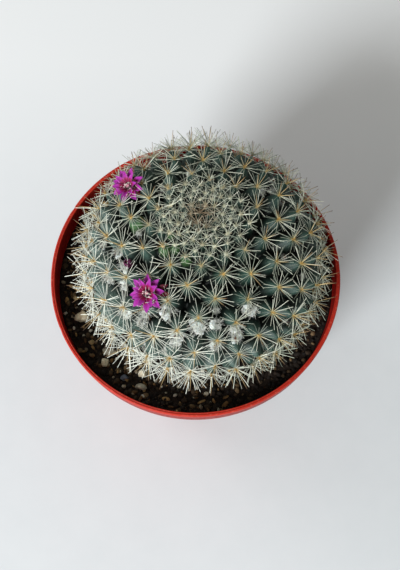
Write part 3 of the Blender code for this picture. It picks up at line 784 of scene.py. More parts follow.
def tubercles():
    """(tip, outward direction, spacing) of each tubercle, youngest first."""
    lean = Matrix.Rotation(-CROWN_LEAN_LEFT, 3, "Y") @ Matrix.Rotation(-CROWN_LEAN_BACK, 3, "X")
    found = []
    polar = along = count = 0.0
    born = 0
    while polar < SPIRAL_END:
        run = math.hypot(BODY_RADIUS * math.cos(polar), height_scale(polar) * math.sin(polar))
        polar += SPIRAL_STEP / run
        along += SPIRAL_STEP
        share = 1 / (1 + math.exp((GROWN_AT - along) / GROWN_OVER))
        area = AREA_YOUNG + (AREA_OLD - AREA_YOUNG) * share
        count += 2 * math.pi * BODY_RADIUS * math.sin(polar) * SPIRAL_STEP / area
        if count < born + 1:
            continue
        born += 1
        leant = lean @ ray(polar, FIRST_TURN + born * TURN)
        place = (math.acos(leant.z), math.atan2(leant.y, leant.x))
        if surface(*place).z > soil_top + LOWEST_TIP:
            found.append((surface(*place), outward(*place), math.sqrt(area * 2 / math.sqrt(3))))
    return found


tips, directions, spacings = (list(column) for column in zip(*tubercles()))
count = len(tips)

# The front left side, which faces the window, is painted paler as painted light: 1 there, 0 at the back
# right. A few tubercles are fresh green.
LIT_SIDE = Vector((-0.75, -0.66, 0.0))
FRESH_PLACES = ((-0.0215, 0.017), (-0.0195, 0.000), (-0.0095, -0.004), (-0.026, 0.009), (-0.003, -0.012))
FRESH_REACH = 0.0042
lit_side_share = [min(1.0, max(0.0, (direction.dot(LIT_SIDE) - 0.15) / 0.60)) for direction in directions]
chance = random.Random(12)
freshness = []
for tip in tips:
    near = min(math.hypot(tip.x - x, tip.y - y) for x, y in FRESH_PLACES)
    freshness.append(1.0 if near < FRESH_REACH else 0.25 * chance.random())


def point_cloud(name, places, attributes):
    """A mesh of loose vertices with attributes: label to a list of numbers or of vectors."""
    mesh = bpy.data.meshes.new(name)
    mesh.from_pydata(places, [], [])
    for label, values in attributes.items():
        of_vectors = isinstance(values[0], Vector)
        layer = mesh.attributes.new(label, "FLOAT_VECTOR" if of_vectors else "FLOAT", "POINT")
        for item, value in zip(layer.data, values):
            setattr(item, "vector" if of_vectors else "value", value)
    return add_object(name, mesh)


def attribute(tree, label, kind="FLOAT"):
    return put(tree, "GeometryNodeInputNamedAttribute", {"Name": label}, data_type=kind)


skin_finish, tree, shader = new_finish("cactus skin", 0.50, Specular_IOR_Level=0.42)
depth = painted(tree, "cleft")
side, _ = varied(tree, (0.004, 0.018, 0.013), (0.014, 0.042, 0.029), 90.0, 900.0)
tip, height = varied(tree, (0.012, 0.043, 0.032), (0.034, 0.086, 0.066), 260.0, 2600.0)
fresh = painted(tree, "fresh").remap(0.7, 1.0) * depth.remap(0.18, 0.45)
lit_side_paling = painted(tree, "lit_side_share") * grain(tree, 1400.0).remap(0.40, 0.70, 0.25, 0.70)
dots = put(tree, "ShaderNodeTexVoronoi", {"Vector": on_piece(tree), "Scale": 2100.0}, output="Distance")
dot_mask = dots.remap(0.20, 0.10) * depth.remap(0.95, 0.55)
# Down into the clefts the skin is painted darker: painted shade between the tubercles.
tone = side.mixed(depth.remap(0.62, 0.05), tip)
tone = tone.mixed(fresh * 0.75, (0.080, 0.200, 0.050))
# The skin on the front left, toward the window, is painted paler: painted light.
tone = tone.mixed(lit_side_paling, (0.19, 0.275, 0.245))
tone = tone.mixed(dot_mask * 0.35, (0.40, 0.47, 0.44))
# Deep in the clefts the skin is painted near-black: painted shade.
tone = tone.mixed(depth.remap(0.40, 0.80), (0.0015, 0.004, 0.003))
coat(shader, tone, height + dot_mask * 0.4, 0.00022, roughness=height.remap(0.3, 0.7, 0.42, 0.60))

tree, given = new_tree(
    "tubercled skin",
    Cleft_Depth=0.95,
    Cleft_Reach=0.56,
    Cone_Shape=1.45,
    Keel=0.34,
    Fineness=4,
    Centre=(0.0, 0.0, 0.0),
    Half_Widths=(1.0, 1.0, 1.0),
)


def read_nearest(source, label):
    """The attribute, or the position, of the source's point that is nearest to here."""
    kind = "FLOAT_VECTOR" if label in ("outward", "position") else "FLOAT"
    near = put(tree, "GeometryNodeSampleNearest", {"Geometry": source, "Sample Position": here})
    value = position(tree) if label == "position" else attribute(tree, label, kind)
    sampled = {"Geometry": source, "Value": value, "Index": near}
    return put(tree, "GeometryNodeSampleIndex", sampled, data_type=kind)


points = given["Geometry"]
of_tips = {"Geometry": points, "Selection": attribute(tree, "tip")}
tips_only = put(tree, "GeometryNodeSeparateGeometry", of_tips)
here = position(tree)
hull = put(tree, "GeometryNodeConvexHull", {"Geometry": points})
for label in ("tip", "spacing", "lit_side_share"):
    hull = stored(tree, hull, label, read_nearest(points, label))
fine = put(tree, "GeometryNodeSubdivideMesh", {"Mesh": hull, "Level": given["Fineness"]})
axis = read_nearest(tips_only, "outward")
away = here - read_nearest(tips_only, "position")
flat = away - axis * away.calc("DOT_PRODUCT", axis)
reach = attribute(tree, "spacing") * given["Cleft Reach"]
cleft = (flat.calc("LENGTH") / reach).calc("MINIMUM", 1.12)
upright = axis.calc("CROSS_PRODUCT", (0.03, 0.02, 1.0)).calc("NORMALIZE")
across = flat.calc("DOT_PRODUCT", axis.calc("CROSS_PRODUCT", upright))
angle = flat.calc("DOT_PRODUCT", upright).calc("ARCTAN2", across)
within = cleft * (1.0 - cleft).calc("MAXIMUM", 0.0)
ridges = ((angle * 2.0).calc("COSINE").calc("ABSOLUTE") - 0.5) * within * given["Keel"]
sink = cleft.calc("POWER", given["Cone Shape"]) * given["Cleft Depth"] - ridges
sink = sink * attribute(tree, "spacing") * attribute(tree, "tip")
normal = ((here - given["Centre"]) / given["Half Widths"] / given["Half Widths"]).calc("NORMALIZE")
fine = stored(tree, fine, "cleft", cleft * attribute(tree, "tip"))
fine = stored(tree, fine, "fresh", read_nearest(tips_only, "fresh"))
end_tree(tree, moved(tree, fine, Offset=normal * (sink * -1.0)), skin_finish)

foot = []
for radius, below, sides in BURIED_FOOT:
    for i in range(sides):
        foot.append(Vector((*on_circle(radius, i, sides, (PLANT_X, PLANT_Y)), soil_top - below)))
stem_layers = {
    "tip": [1.0] * count + [0.0] * len(foot),
    "spacing": spacings + [FULL_SPACING] * len(foot),
    "outward": directions + [UP] * len(foot),
    "lit_side_share": lit_side_share + [0.0] * len(foot),
    "fresh": freshness + [0.0] * len(foot),
}
stem_values = {"Centre": tuple(CENTRE), "Half Widths": (BODY_RADIUS, BODY_RADIUS, BODY_RISE)}
stem = grow("stem_skin", point_cloud("stem_points", tips + foot, stem_layers), tree, stem_values)
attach(stem, "root")
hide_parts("stem")


# ---------------------------------------------------------------- spines
# Every tubercle ends in a felted pad with a star of thin cream radial spines and a few stouter
# central ones, yellow-brown at the base and dark at the tip. They grow from the pad and are stiff.

YOUNG_SHARE = 0.66
YOUNG_BELOW = 0.0072
REAR_FROM = 0.55
ASCENT = 0.42
YOUNG_SIZE = math.sqrt(AREA_YOUNG)
ANY_SPIN = 6.28


def standing(tree, heading, spin_seed=None):
    """Rotation that brings +Z to the heading, spun round it at random where there is a seed."""
    turn = put(tree, "FunctionNodeAlignRotationToVector", {"Vector": heading}, axis="Z")
    if not spin_seed:
        return turn
    spin = put(tree, "ShaderNodeCombineXYZ", {"Z": random_value(tree, 0.0, ANY_SPIN, spin_seed)})
    spun = put(tree, "FunctionNodeEulerToRotation", {"Euler": spin})
    both = {"Rotation": turn, "Rotate By": spun}
    return put(tree, "FunctionNodeRotateRotation", both, rotation_space="LOCAL")


def bent_line(tree, resolution, elbow, top):
    """A curve from the origin to the top, bent toward the elbow."""
    given = {"Resolution": resolution, "Start": (0.0, 0.0, 0.0), "Middle": elbow, "End": top}
    return put(tree, "GeometryNodeCurveQuadraticBezier", given)


def swept(tree, line, sides, radius):
    outline = put(tree, "GeometryNodeCurvePrimitiveCircle", {"Resolution": sides, "Radius": radius})
    return put(tree, "GeometryNodeCurveToMesh", {"Curve": line, "Profile Curve": outline, "Fill Caps": True})


def spine_tree(name, material, count, length, angles, slim, bow):
    """Tree that stands count spines on every point, between two angles (degrees) above the skin."""
    tree, given = new_tree(
        name,
        Count=count,
        Length=length,
        Lowest_Angle=math.radians(angles[0]),
        Highest_Angle=math.radians(angles[1]),
        Slimness=slim,
        Bow=bow,
        Seed=1,
    )
    amount = {"Geometry": given["Geometry"], "Amount": given["Count"]}
    doubled = put(tree, "GeometryNodeDuplicateElements", amount, domain="POINT")
    number = Field(tree, doubled.socket.node.outputs["Duplicate Index"])

    def chance(low, high, offset):
        return random_value(tree, low, high, given["Seed"] + offset)

    axis = attribute(tree, "axis", "FLOAT_VECTOR")
    first = axis.calc("CROSS_PRODUCT", (0.03, 0.02, 1.0)).calc("NORMALIZE")
    second = axis.calc("CROSS_PRODUCT", first)
    angle = (number + chance(-0.45, 0.45, 0)) * (2 * math.pi) / given["Count"] + attribute(tree, "twist")
    rise = chance(given["Lowest Angle"], given["Highest Angle"], 1)
    across = first * angle.calc("COSINE") + second * angle.calc("SINE")
    turned = standing(tree, across * rise.calc("COSINE") + axis * rise.calc("SINE"))
    elbow = put(tree, "ShaderNodeCombineXYZ", {"X": given["Bow"], "Z": 0.5})
    along = put(tree, "GeometryNodeSplineParameter", output="Factor")
    taper = along.calc("POWER", 1.5).remap(0.0, 1.0, 1.0, 0.08)
    tapered = {"Curve": bent_line(tree, 4, elbow, (0.0, 0.0, 1.0)), "Radius": taper}
    line = stored(tree, put(tree, "GeometryNodeSetCurveRadius", tapered), "along", along)
    size = given["Length"] * chance(0.74, 1.28, 2) * attribute(tree, "vigour")
    spikes = placed(tree, doubled, swept(tree, line, 3, given["Slimness"]), turned, size)
    end_tree(tree, stored(tree, spikes, "shade", chance(0.0, 1.0, 3), "INSTANCE"), material)
    return tree


CREAM = (
    (0.0, (0.66, 0.50, 0.17)),
    (0.12, (0.78, 0.74, 0.46)),
    (0.40, (0.88, 0.92, 0.78)),
    (1.0, (0.76, 0.78, 0.64)),
)
GOLD = (
    (0.0, (0.74, 0.48, 0.12)),
    (0.30, (0.82, 0.66, 0.34)),
    (0.68, (0.52, 0.36, 0.17)),
    (1.0, (0.07, 0.025, 0.012)),
)
PALENESS = ((0.0, (0.20, 0.235, 0.225)), (0.5, (0.66, 0.71, 0.68)), (0.85, (1.0, 1.0, 1.0)))
radial_finish, tree, shader = new_finish("radial spines", 0.45, Specular_IOR_Level=0.4)
tone = painted(tree, "along").ramp(*CREAM).mixed(1.0, painted(tree, "shade").ramp(*PALENESS), "MULTIPLY")
# Radial spines on the front left, toward the window, are painted paler: painted light.
tone = tone.mixed(painted(tree, "lit_side_share") * 0.6, (0.90, 0.93, 0.86))
coat(shader, tone.mixed(painted(tree, "newest"), (0.34, 0.22, 0.12)))
central_finish, tree, shader = new_finish("central spines", 0.38, Specular_IOR_Level=0.5)
coat(shader, shaded(tree, painted(tree, "along").ramp(*GOLD), (0.75, 0.75, 0.75), 200.0, 3000.0)[0])

chance = random.Random(5)
vigours = []
for spacing, lit_share in zip(spacings, lit_side_share):
    age = min(1.0, max(0.0, (spacing - YOUNG_SIZE) / (FULL_SPACING - YOUNG_SIZE)))
    vigours.append((YOUNG_SHARE + (1 - YOUNG_SHARE) * age) * (1.0 + 0.25 * lit_share) * chance.uniform(0.88, 1.14))
spine_layers = {
    "axis": [(direction + ASCENT * (1 - direction.z) * UP).normalized() for direction in directions],
    "vigour": vigours,
    "twist": [chance.uniform(0.0, 2 * math.pi) for _ in range(count)],
    "lit_side_share": lit_side_share,
    "newest": [max(0.0, 0.85 - 0.09 * i) for i in range(count)],
}
young = [i for i in range(count) if spacings[i] < YOUNG_BELOW]
older = [i for i in range(count) if i not in young]
rear = [i for i in older if directions[i].y > REAR_FROM]


def grown_on(name, chosen, tree, values):
    """What the tree grows on these tubercles, as a piece of the skin."""
    layers = {label: [layer[i] for i in chosen] for label, layer in spine_layers.items()}
    piece = grow(name, point_cloud(name + "_points", [tips[i] for i in chosen], layers), tree, values)
    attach(piece, "root")


RADIALS = {"count": 22, "length": 0.0064, "angles": (4.0, 38.0), "slim": 0.0122, "bow": 0.016}
CENTRALS = {"count": 3, "length": 0.0062, "angles": (46.0, 78.0), "slim": 0.0150, "bow": 0.012}
radial_tree = spine_tree("radial spines", radial_finish, **RADIALS)
central_tree = spine_tree("central spines", central_finish, **CENTRALS)
REAR_VALUES = {"Count": 34, "Highest Angle": math.radians(52.0), "Seed": 4}
CROWN_VALUES = {"Count": 13, "Highest Angle": math.radians(66.0), "Slimness": 0.0185, "Seed": 14}
grown_on("radial_spines", [i for i in older if i not in rear], radial_tree, {})
grown_on("rear_spines", rear, radial_tree, REAR_VALUES)
grown_on("crown_spines", young, radial_tree, CROWN_VALUES)
grown_on("central_spines", older, central_tree, {"Seed": 9})


# ---------------------------------------------------------------- felt of the areoles
# Each star of spines stands on a small oval pad of golden felt. It is whiter at the young crown.

PAD_RADIUS = 0.00050
CROWN_PAD = 0.00095
FELT_HAIRS = {"count": 16, "length": 0.00125, "angles": (5.0, 85.0), "slim": 0.040, "bow": 0.15}
CROWN_HAIRS = {"Seed": 22, "Length": 0.0024, "Slimness": 0.030}

felt_finish, tree, shader = new_finish("areole felt", 0.95, Specular_IOR_Level=0.1)
tone, height = varied(tree, (0.40, 0.24, 0.06), (0.72, 0.50, 0.19), 500.0, 6000.0)
tone = tone.mixed(painted(tree, "vigour").remap(0.95, 0.70), (0.80, 0.80, 0.66))
coat(shader, tone.mixed(painted(tree, "newest"), (0.16, 0.09, 0.05)), height, 0.0002)

tree, given = new_tree("felt pads", Radius=PAD_RADIUS, Seed=2)
pad = moved(tree, ball(tree, given["Radius"], 2), Position=position(tree) * (1.0, 0.85, 0.6))
size = attribute(tree, "vigour") * random_value(tree, 0.85, 1.15, given["Seed"])
upright = standing(tree, attribute(tree, "axis", "FLOAT_VECTOR"))
end_tree(tree, placed(tree, given["Geometry"], pad, upright, size), felt_finish)
grown_on("areole_pads", older, tree, {"Radius": PAD_RADIUS})
grown_on("crown_pads", young, tree, {"Radius": CROWN_PAD})
hair_tree = spine_tree("felt hairs", felt_finish, **FELT_HAIRS)
grown_on("areole_felt", older, hair_tree, {"Seed": 21})
grown_on("crown_felt", young, hair_tree, CROWN_HAIRS)


# ---------------------------------------------------------------- wool
# Old axils on the front and left carry a tuft of white wool that once wrapped the flower buds.
# It is a loose ball of curled hairs, pressed between three tubercles.

WOOL_LOW, WOOL_HIGH = math.radians(45.0), math.radians(68.0)
WOOL_MIDDLE = math.radians(-118.0)
WOOL_REACH = math.radians(62.0)
STRAY_LOW, STRAY_HIGH = math.radians(20.0), math.radians(100.0)
WOOL_DEPTH = 0.0038
WOOL_BALL = 0.0028
LUMP_SIZE = 0.0058
WOOL_HAIRS = {"count": 70, "length": 0.0034, "angles": (-10.0, 88.0), "slim": 0.016, "bow": 0.32}
SCRAPS_IN_A_TUFT = 3
SCRAP_RADIUS = 0.00042
SCRAP_SPREAD = 0.0007
SCRAP_RISE = 0.0016

bm = bmesh.new()
for tip in tips:
    bm.verts.new(tip)
bmesh.ops.convex_hull(bm, input=bm.verts)
axils = []
for face in bm.faces:
    middle = face.calc_center_median()
    from_centre = middle - CENTRE
    level = math.hypot(from_centre.x, from_centre.y) / BODY_RADIUS
    polar = math.atan2(level, from_centre.z / BODY_RISE)
    compass = math.atan2(from_centre.y, from_centre.x)
    above = sum(1 for vert in face.verts if vert.co.z > middle.z)
    axils.append((compass, polar, middle, above))
bm.free()

chance = random.Random(31)
tufts = []
for compass, polar, middle, above in sorted(axils, key=lambda axil: axil[:2]):
    direction = outward(polar, compass)
    off = abs((compass - WOOL_MIDDLE + math.pi) % (2 * math.pi) - math.pi)
    luck = chance.random()
    if WOOL_LOW < polar < WOOL_HIGH and off < WOOL_REACH:
        if above == 1 or luck < 0.35:
            tufts.append((middle - WOOL_DEPTH * direction, direction, 0.75 + 0.5 * luck))
    elif STRAY_LOW < polar < STRAY_HIGH and luck < 0.10:
        tufts.append((middle - 1.2 * WOOL_DEPTH * direction, direction, 0.45 + 2.0 * luck))
tuft_places = [place for place, _, _ in tufts]
tuft_layers = {
    "axis": [direction for _, direction, _ in tufts],
    "vigour": [size for _, _, size in tufts],
    "twist": [chance.uniform(0.0, 2 * math.pi) for _ in tufts],
}

WOOL_LOOK = {"Specular_IOR_Level": 0.05, "Subsurface_Weight": 0.15}
WOOL_TONES = ((0.50, 0.52, 0.47), (0.86, 0.87, 0.82))
wool_finish = mottled("axil wool", 1.0, *WOOL_TONES, 900.0, 5000.0, 0.0004, **WOOL_LOOK)
tree, given = new_tree("wool balls", Radius=WOOL_BALL, Seed=6)
here = position(tree)
pressed = here * (noise_at(here, 2.2, 4.0) + 0.45) * given["Radius"] * (1.0, 0.85, 0.50)
turn = standing(tree, attribute(tree, "axis", "FLOAT_VECTOR"), given["Seed"])
tuft = moved(tree, ball(tree, 1.0, 4), Position=pressed)
tuft = placed(tree, given["Geometry"], tuft, turn, attribute(tree, "vigour"))
real = put(tree, "GeometryNodeRealizeInstances", {"Geometry": tuft})
raised = put(tree, "GeometryNodeInputNormal") * ((noise_at(position(tree), 420.0, 4.0) - 0.57) * LUMP_SIZE)
end_tree(tree, moved(tree, real, Offset=raised), wool_finish)
wool_tree = spine_tree("wool hairs", wool_finish, **WOOL_HAIRS)
for name, maker, values in (("wool_balls", tree, {}), ("wool_hairs", wool_tree, {"Seed": 33})):
    wool = grow(name, point_cloud(name + "_points", tuft_places, tuft_layers), maker, values)
    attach(wool, "root")

# Dry brown scraps of old flowers are caught in every third tuft.
SCRAP_TONES = ((0.045, 0.018, 0.012), (0.20, 0.10, 0.055))
scrap_finish = mottled("dry scraps", 0.9, *SCRAP_TONES, 900.0, 6000.0, 0.0003, Specular_IOR_Level=0.15)
bm = bmesh.new()
for place, direction, size in tufts[::3]:
    for _ in range(SCRAPS_IN_A_TUFT):
        scrap = bmesh.ops.create_icosphere(bm, subdivisions=2, radius=SCRAP_RADIUS)["verts"]
        shift = SCRAP_SPREAD * Vector([chance.uniform(-1, 1) for _ in range(3)])
        stretch = Matrix.Diagonal((chance.uniform(1.0, 2.2), 0.7, 0.5)).to_4x4()
        turn = Matrix.Rotation(chance.uniform(0.0, ANY_SPIN), 4, direction)
        tilt = Matrix.Rotation(chance.uniform(-1, 1), 4, "Y")
        spot = Matrix.Translation(place + (SCRAP_RISE + WOOL_DEPTH * 0.1) * size * direction + shift)
        bmesh.ops.transform(bm, matrix=spot @ turn @ tilt @ stretch, verts=scrap)
scraps = mesh_object("dry_scraps", bm, scrap_finish)
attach(scraps, "root")


# ---------------------------------------------------------------- flowers
# Two open flowers, each grown from between the tubercles: a short floral tube, two whorls of pointed
# silky tepals with crimson bases, a ring of stamens with pale anthers, and a lobed stigma.

# Name, place (angle from the crown, compass), facing (lean from upright, compass) and size. In degrees.
FLOWERS = (
    ("flower_upper", (47.1, 144.1), (27.0, -158.0), 1.08),
    ("flower_lower", (40.6, -130.9), (26.0, -137.0), 1.08),
)
BUD = ("flower_bud", (40.0, -157.3), (24.0, -137.6), 0.9)
FLOWER_RISE = 0.0004
BUD_RISE = -0.0006
# Name, start (radius, height), rise, length, width, curl, and share of a step between tepals.
WHORLS = (
    ("outer", (0.00185, 0.00062), math.radians(24.0), 0.0049, 0.0024, math.radians(30.0), 0.0),
    ("inner", (0.00150, 0.00150), math.radians(46.0), 0.0043, 0.0019, math.radians(34.0), 0.5),
)
TEPALS = 8
BLADE_STATIONS = 14
BLADE_POINTS = 8
BLADE_SPREAD = 1.18
TEPAL_THICKNESS = 0.00026
TUBE_LENGTH = 0.0072
TUBE_RADIUS = 0.0021
TUBE_SIDES = 48
TUBE_RIBS = 8
THROAT_RADIUS = 0.0016
THROAT_DEPTH = 0.0034
TUBE_LIP = 0.0003
STAMENS = 44
STYLE_TOP = 0.0016
STYLE_RADIUS = 0.00018
STIGMA_LOBES = 6
LOBE = (0.00048, 0.00016, 0.00018)
LOBE_REACH = 0.00050


def flower_frame(place, facing, rise):
    """Matrix at the flower's opening, just over the tubercles' tips, with +Z out along the tube."""
    axis = ray(*(math.radians(angle) for angle in facing))
    spot = [math.radians(angle) for angle in place]
    sideways = axis.cross(UP).normalized()
    turned = Matrix((sideways, axis.cross(sideways), axis)).transposed().to_4x4()
    return Matrix.Translation(surface(*spot) + rise * ray(*spot)) @ turned


def blade_width(share):
    """Width of a tepal as a share of its widest, from its narrow base (0) to its pointed tip (1)."""
    belly = math.sin(math.pi * (0.10 + 0.78 * share)) ** 1.1
    return (0.36 + 0.64 * belly) * (1.0 - share**3.2) ** 0.9


def add_blade(bm, matrix, start, rise, length, width, curl, chance):
    """A thin closed petal with a midrib groove, lifted edges and a drawn-out tip, added to the bmesh."""
    layers = bm.verts.layers.float
    along_layer = layers.get("along") or layers.new("along")
    across_layer = layers.get("across") or layers.new("across")
    place = Vector((start[0], 0.0, start[1]))
    pitch = rise + chance.uniform(-0.10, 0.10)
    twist = chance.uniform(-0.30, 0.30)
    sway = chance.uniform(-0.12, 0.12)
    length *= chance.uniform(0.92, 1.08)
    rings = []
    for i in range(BLADE_STATIONS + 1):
        share = i / BLADE_STATIONS
        half = 0.5 * width * max(0.02, blade_width(share))
        thick = 0.5 * TEPAL_THICKNESS * (1.0 - 0.65 * share)
        up = Vector((-math.sin(pitch), 0.0, math.cos(pitch)))
        side = (Vector((0.0, 1.0, 0.0)) + twist * share * up).normalized()
        ring = []
        for k in range(2 * BLADE_POINTS):
            face = 1 if k < BLADE_POINTS else -1
            u = face * (2 * (k % BLADE_POINTS) / BLADE_POINTS - 1)
            edge = math.sqrt(max(0.0, 1 - u * u)) * 0.85 + 0.15
            lift = 0.42 * half * u * u - 0.12 * half * math.exp(-((4 * u) ** 2))
            lift += 0.00008 * math.sin(9 * share + 5 * u) * share
            vert = bm.verts.new(matrix @ (place + side * half * u + up * (lift + face * thick * edge)))
            vert[along_layer] = share
            vert[across_layer] = u
            ring.append(vert)
        rings.append(ring)
        place = place + length / BLADE_STATIONS * Vector((math.cos(pitch), sway * share, math.sin(pitch)))
        pitch -= curl / BLADE_STATIONS
    for first, second in zip(rings, rings[1:]):
        for k in range(2 * BLADE_POINTS):
            bm.faces.new((first[k - 1], first[k], second[k], second[k - 1]))
    bm.faces.new(rings[0])
    bm.faces.new(rings[-1])


def blade_piece(name, bm, finish):
    bmesh.ops.recalc_face_normals(bm, faces=bm.faces)
    return mesh_object(name, bm, finish)


TEPAL_TONES = (
    (0.0, (0.20, 0.003, 0.018)),
    (0.32, (0.27, 0.005, 0.05)),
    (0.50, (0.38, 0.014, 0.33)),
    (1.0, (0.48, 0.055, 0.47)),
)
SILK = {"Specular_IOR_Level": 0.35, "Subsurface_Weight": 0.12, "Subsurface_Radius": (0.0012, 0.0004, 0.0010)}
tepal_finish, tree, shader = new_finish("silky tepals", 0.42, **SILK)
signed = painted(tree, "across")
across = signed.calc("ABSOLUTE")
tone = painted(tree, "along").ramp(*TEPAL_TONES)
tone = tone.mixed(across.remap(0.30, 0.0) * 0.55, (0.34, 0.006, 0.22))
tone = tone.mixed(across.remap(0.70, 1.0) * 0.45, (0.64, 0.16, 0.62))
tone, height = shaded(tree, tone, (0.78, 0.74, 0.78), 700.0, 5000.0)
stripes = {"Vector": put(tree, "ShaderNodeCombineXYZ", {"X": signed}), "Scale": 2.4, "Distortion": 0.6}
coat(shader, tone, put(tree, "ShaderNodeTexWave", stripes) + height, 0.00005)

TUBE_TONES = ((0.20, 0.008, 0.030), (0.36, 0.020, 0.085))
tube_finish = mottled("floral tube", 0.45, *TUBE_TONES, 500.0, 4000.0, 0.00010, Subsurface_Weight=0.1)
STIGMA_TONES = ((0.56, 0.16, 0.24), (0.76, 0.42, 0.46))
stigma_finish = mottled("stigma", 0.50, *STIGMA_TONES, 700.0, 6000.0, 0.00008, Subsurface_Weight=0.2)

STAMEN_TONES = (
    (0.0, (0.30, 0.01, 0.08)),
    (0.80, (0.60, 0.12, 0.34)),
    (0.95, (0.84, 0.52, 0.60)),
    (1.0, (0.88, 0.64, 0.68)),
)
stamen_finish, tree, shader = new_finish("stamens", 0.60)
tone = painted(tree, "along").ramp(*STAMEN_TONES)
coat(shader, *shaded(tree, tone, (0.80, 0.78, 0.78), 900.0, 7000.0), 0.00008)

# A thread with a round anther on every point.
stamen_tree, given = new_tree("stamens", Length=0.0026, Thread=0.00007, Anther=0.00036, Seed=5)
tree = stamen_tree
length = given["Length"]
top = put(tree, "ShaderNodeCombineXYZ", {"X": length * 0.22, "Z": length})
line = bent_line(tree, 5, put(tree, "ShaderNodeCombineXYZ", {"X": 0.0, "Z": length * 0.55}), top)
line = stored(tree, line, "along", put(tree, "GeometryNodeSplineParameter", output="Factor") * 0.8)
anther = {"Geometry": ball(tree, given["Anther"], 2), "Translation": top, "Scale": (0.75, 0.75, 1.15)}
anther = stored(tree, put(tree, "GeometryNodeTransform", anther), "along", 1.0)
both = tree.nodes.new("GeometryNodeJoinGeometry")
tree.links.new(anther.socket, both.inputs[0])
tree.links.new(swept(tree, line, 5, given["Thread"]).socket, both.inputs[0])
turn = standing(tree, attribute(tree, "axis", "FLOAT_VECTOR"), given["Seed"])
size = random_value(tree, 0.78, 1.15, given["Seed"] + 1)
end_tree(tree, placed(tree, given["Geometry"], Field(tree, both.outputs[0]), turn, size), stamen_finish)

for flower_seed, (name, place, facing, size) in enumerate(FLOWERS):
    matrix = flower_frame(place, facing, FLOWER_RISE)
    throat, depth = THROAT_RADIUS * size, THROAT_DEPTH * size
    outline = [(0.0, -depth)] + arc((throat * 0.5, -depth * 0.8), throat * 0.5, -90, 0, 5)
    outline += [(throat * 1.02, -depth * 0.4), (throat * 1.06, -0.0002), (throat * 1.14, 0.0001)]
    outline += arc((TUBE_RADIUS * size - TUBE_LIP, -TUBE_LIP), TUBE_LIP, 70, -10, 4)
    for down in (0.15, 0.30, 0.48, 0.65, 0.80, 0.92, 0.97):
        narrow = 0.60 + 0.40 * (1 - min(1.0, down / 0.65)) ** 1.4
        outline.append((TUBE_RADIUS * narrow * size, -down * TUBE_LENGTH * size))
    outline += [(TUBE_RADIUS * 0.35 * size, -TUBE_LENGTH * size), (0.0, -TUBE_LENGTH * size)]
    bm = turned_mesh(outline, TUBE_SIDES)
    for vert in bm.verts:
        ribs = 1.0 + 0.035 * math.cos(TUBE_RIBS * math.atan2(vert.co.y, vert.co.x))
        vert.co.x *= ribs
        vert.co.y *= ribs
    bmesh.ops.transform(bm, matrix=matrix, verts=bm.verts)
    tube = mesh_object(f"{name}_floral_tube", bm, tube_finish)
    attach(tube, "root")
    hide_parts(f"{name}_tube")

    chance = random.Random(70 + flower_seed)
    for whorl, (radius, height), rise, length, width, curl, offset in WHORLS:
        shape = (rise, length * size, width * size * BLADE_SPREAD, curl)
        for i in range(TEPALS):
            compass = 2 * math.pi * (i + offset) / TEPALS + chance.uniform(-0.10, 0.10)
            bm = bmesh.new()
            add_blade(bm, matrix @ Matrix.Rotation(compass, 4, "Z"), (radius * size, height), *shape, chance)
            blade = blade_piece(f"{name}_{whorl}_petal_{i + 1}", bm, tepal_finish)
            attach(blade, "root")
            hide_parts(f"{name}_{whorl}_tepal_{i + 1}")

    feet, leans = [], []
    for i in range(STAMENS):
        share = (i + 0.5) / STAMENS
        ring = throat * (0.66 + 0.30 * share)
        foot = Vector((ring * math.cos(i * TURN), ring * math.sin(i * TURN), -0.0012 - 0.0004 * share))
        feet.append(matrix @ foot)
        leans.append(matrix.to_3x3() @ ray(0.18 + 0.34 * share, i * TURN))
    carrier = point_cloud(f"{name}_stamen_points", feet, {"axis": leans})
    stamens = grow(f"{name}_stamen_ring", carrier, stamen_tree, {"Seed": 5 + flower_seed})
    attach(stamens, "root")
    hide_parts(f"{name}_stamens")

    outline = [(0.0, STYLE_TOP + 0.0003), (0.00030, STYLE_TOP + 0.0002), (0.00032, STYLE_TOP)]
    outline += [(0.00020, STYLE_TOP - 0.0006), (STYLE_RADIUS, 0.0)]
    outline += [(0.00022, -depth + 0.0004), (0.0, -depth + 0.0003)]
    bm = turned_mesh(outline, 14)
    bmesh.ops.transform(bm, matrix=matrix, verts=bm.verts)
    for i in range(STIGMA_LOBES):
        lobe = bmesh.ops.create_icosphere(bm, subdivisions=2, radius=1.0)["verts"]
        bmesh.ops.scale(bm, verts=lobe, vec=LOBE)
        bmesh.ops.translate(bm, verts=lobe, vec=(LOBE_REACH, 0.0, 0.0))
        turn = Matrix.Rotation(2 * math.pi * i / STIGMA_LOBES, 4, "Z") @ Matrix.Rotation(-0.55, 4, "Y")
        bmesh.ops.transform(bm, matrix=matrix @ Matrix.Translation((0.0, 0.0, STYLE_TOP)) @ turn, verts=lobe)
    stigma = blade_piece(f"{name}_lobed_stigma", bm, stigma_finish)
    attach(stigma, "root")
    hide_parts(f"{name}_stigma")

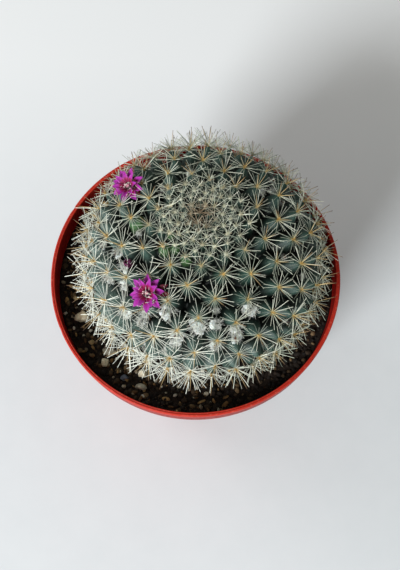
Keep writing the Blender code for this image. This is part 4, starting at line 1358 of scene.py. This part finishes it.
# Two withered petals of an older flower are caught in the spines beside the lower flower.
WITHERED_TONES = ((0.045, 0.003, 0.008), (0.11, 0.008, 0.020))
WITHERED_LOOK = {"Specular_IOR_Level": 0.2}
WITHERED_TURNS = ((-0.16, 0.10), (0.24, 0.45))
WITHERED_START = (0.0040, 0.0002)
WITHERED_SIZE = (0.0042, 0.0021)
withered_finish = mottled("withered petals", 0.6, *WITHERED_TONES, 700.0, 6000.0, 0.00015, **WITHERED_LOOK)
_, place, facing, _ = FLOWERS[1]
matrix = flower_frame(place, facing, FLOWER_RISE)
to_side = matrix.to_3x3().inverted() @ Vector((1.0, 0.12, 0.0))
chance = random.Random(64)
bm = bmesh.new()
for turn_off, rise in WITHERED_TURNS:
    blade_matrix = matrix @ Matrix.Rotation(math.atan2(to_side.y, to_side.x) + turn_off, 4, "Z")
    add_blade(bm, blade_matrix, WITHERED_START, rise, *WITHERED_SIZE, 0.9, chance)
withered = blade_piece("withered_petals", bm, withered_finish)
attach(withered, "root")


# ---------------------------------------------------------------- bud
# A closed flower between the two open ones: dark purple scales wrapped round a pointed core.

BUD_SCALES = 5
BUD_WHORLS = ((-0.0012, 0.0), (0.0, 0.5))
SCALE_START = 0.00115
SCALE_LENGTH = 0.0046
SCALE_WIDTH = 0.0022
SCALE_RISE = math.radians(66.0)
BUD_CORE = (
    (0.0, 0.0026),
    (0.0006, 0.0022),
    (0.0011, 0.0013),
    (0.00135, 0.0),
    (0.0011, -0.0016),
    (0.0008, -0.0040),
    (0.0006, -0.0056),
    (0.0, -0.0058),
)
BUD_TONES = ((0.0, (0.04, 0.004, 0.010)), (0.4, (0.085, 0.006, 0.035)), (1.0, (0.16, 0.018, 0.095)))
bud_finish, tree, shader = new_finish("bud scales", 0.48, Subsurface_Weight=0.1)
edge = painted(tree, "across").calc("ABSOLUTE").remap(0.6, 1.0) * 0.5
tone = painted(tree, "along").ramp(*BUD_TONES).mixed(edge, (0.30, 0.07, 0.22))
coat(shader, *shaded(tree, tone, (0.7, 0.7, 0.7), 800.0, 6000.0), 0.00008)
_, place, facing, size = BUD
matrix = flower_frame(place, facing, BUD_RISE)
bm = turned_mesh([(radius * size, height * size) for radius, height in BUD_CORE], 24)
bmesh.ops.transform(bm, matrix=matrix, verts=bm.verts)
shape = (SCALE_RISE, SCALE_LENGTH * size, SCALE_WIDTH * size, -SCALE_RISE)
chance = random.Random(88)
for start_height, offset in BUD_WHORLS:
    for i in range(BUD_SCALES):
        blade_matrix = matrix @ Matrix.Rotation(2 * math.pi * (i + offset) / BUD_SCALES, 4, "Z")
        add_blade(bm, blade_matrix, (SCALE_START * size, start_height * size), *shape, chance)
bud = blade_piece("closed_bud", bm, bud_finish)
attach(bud, "root")
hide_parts("flower_bud")
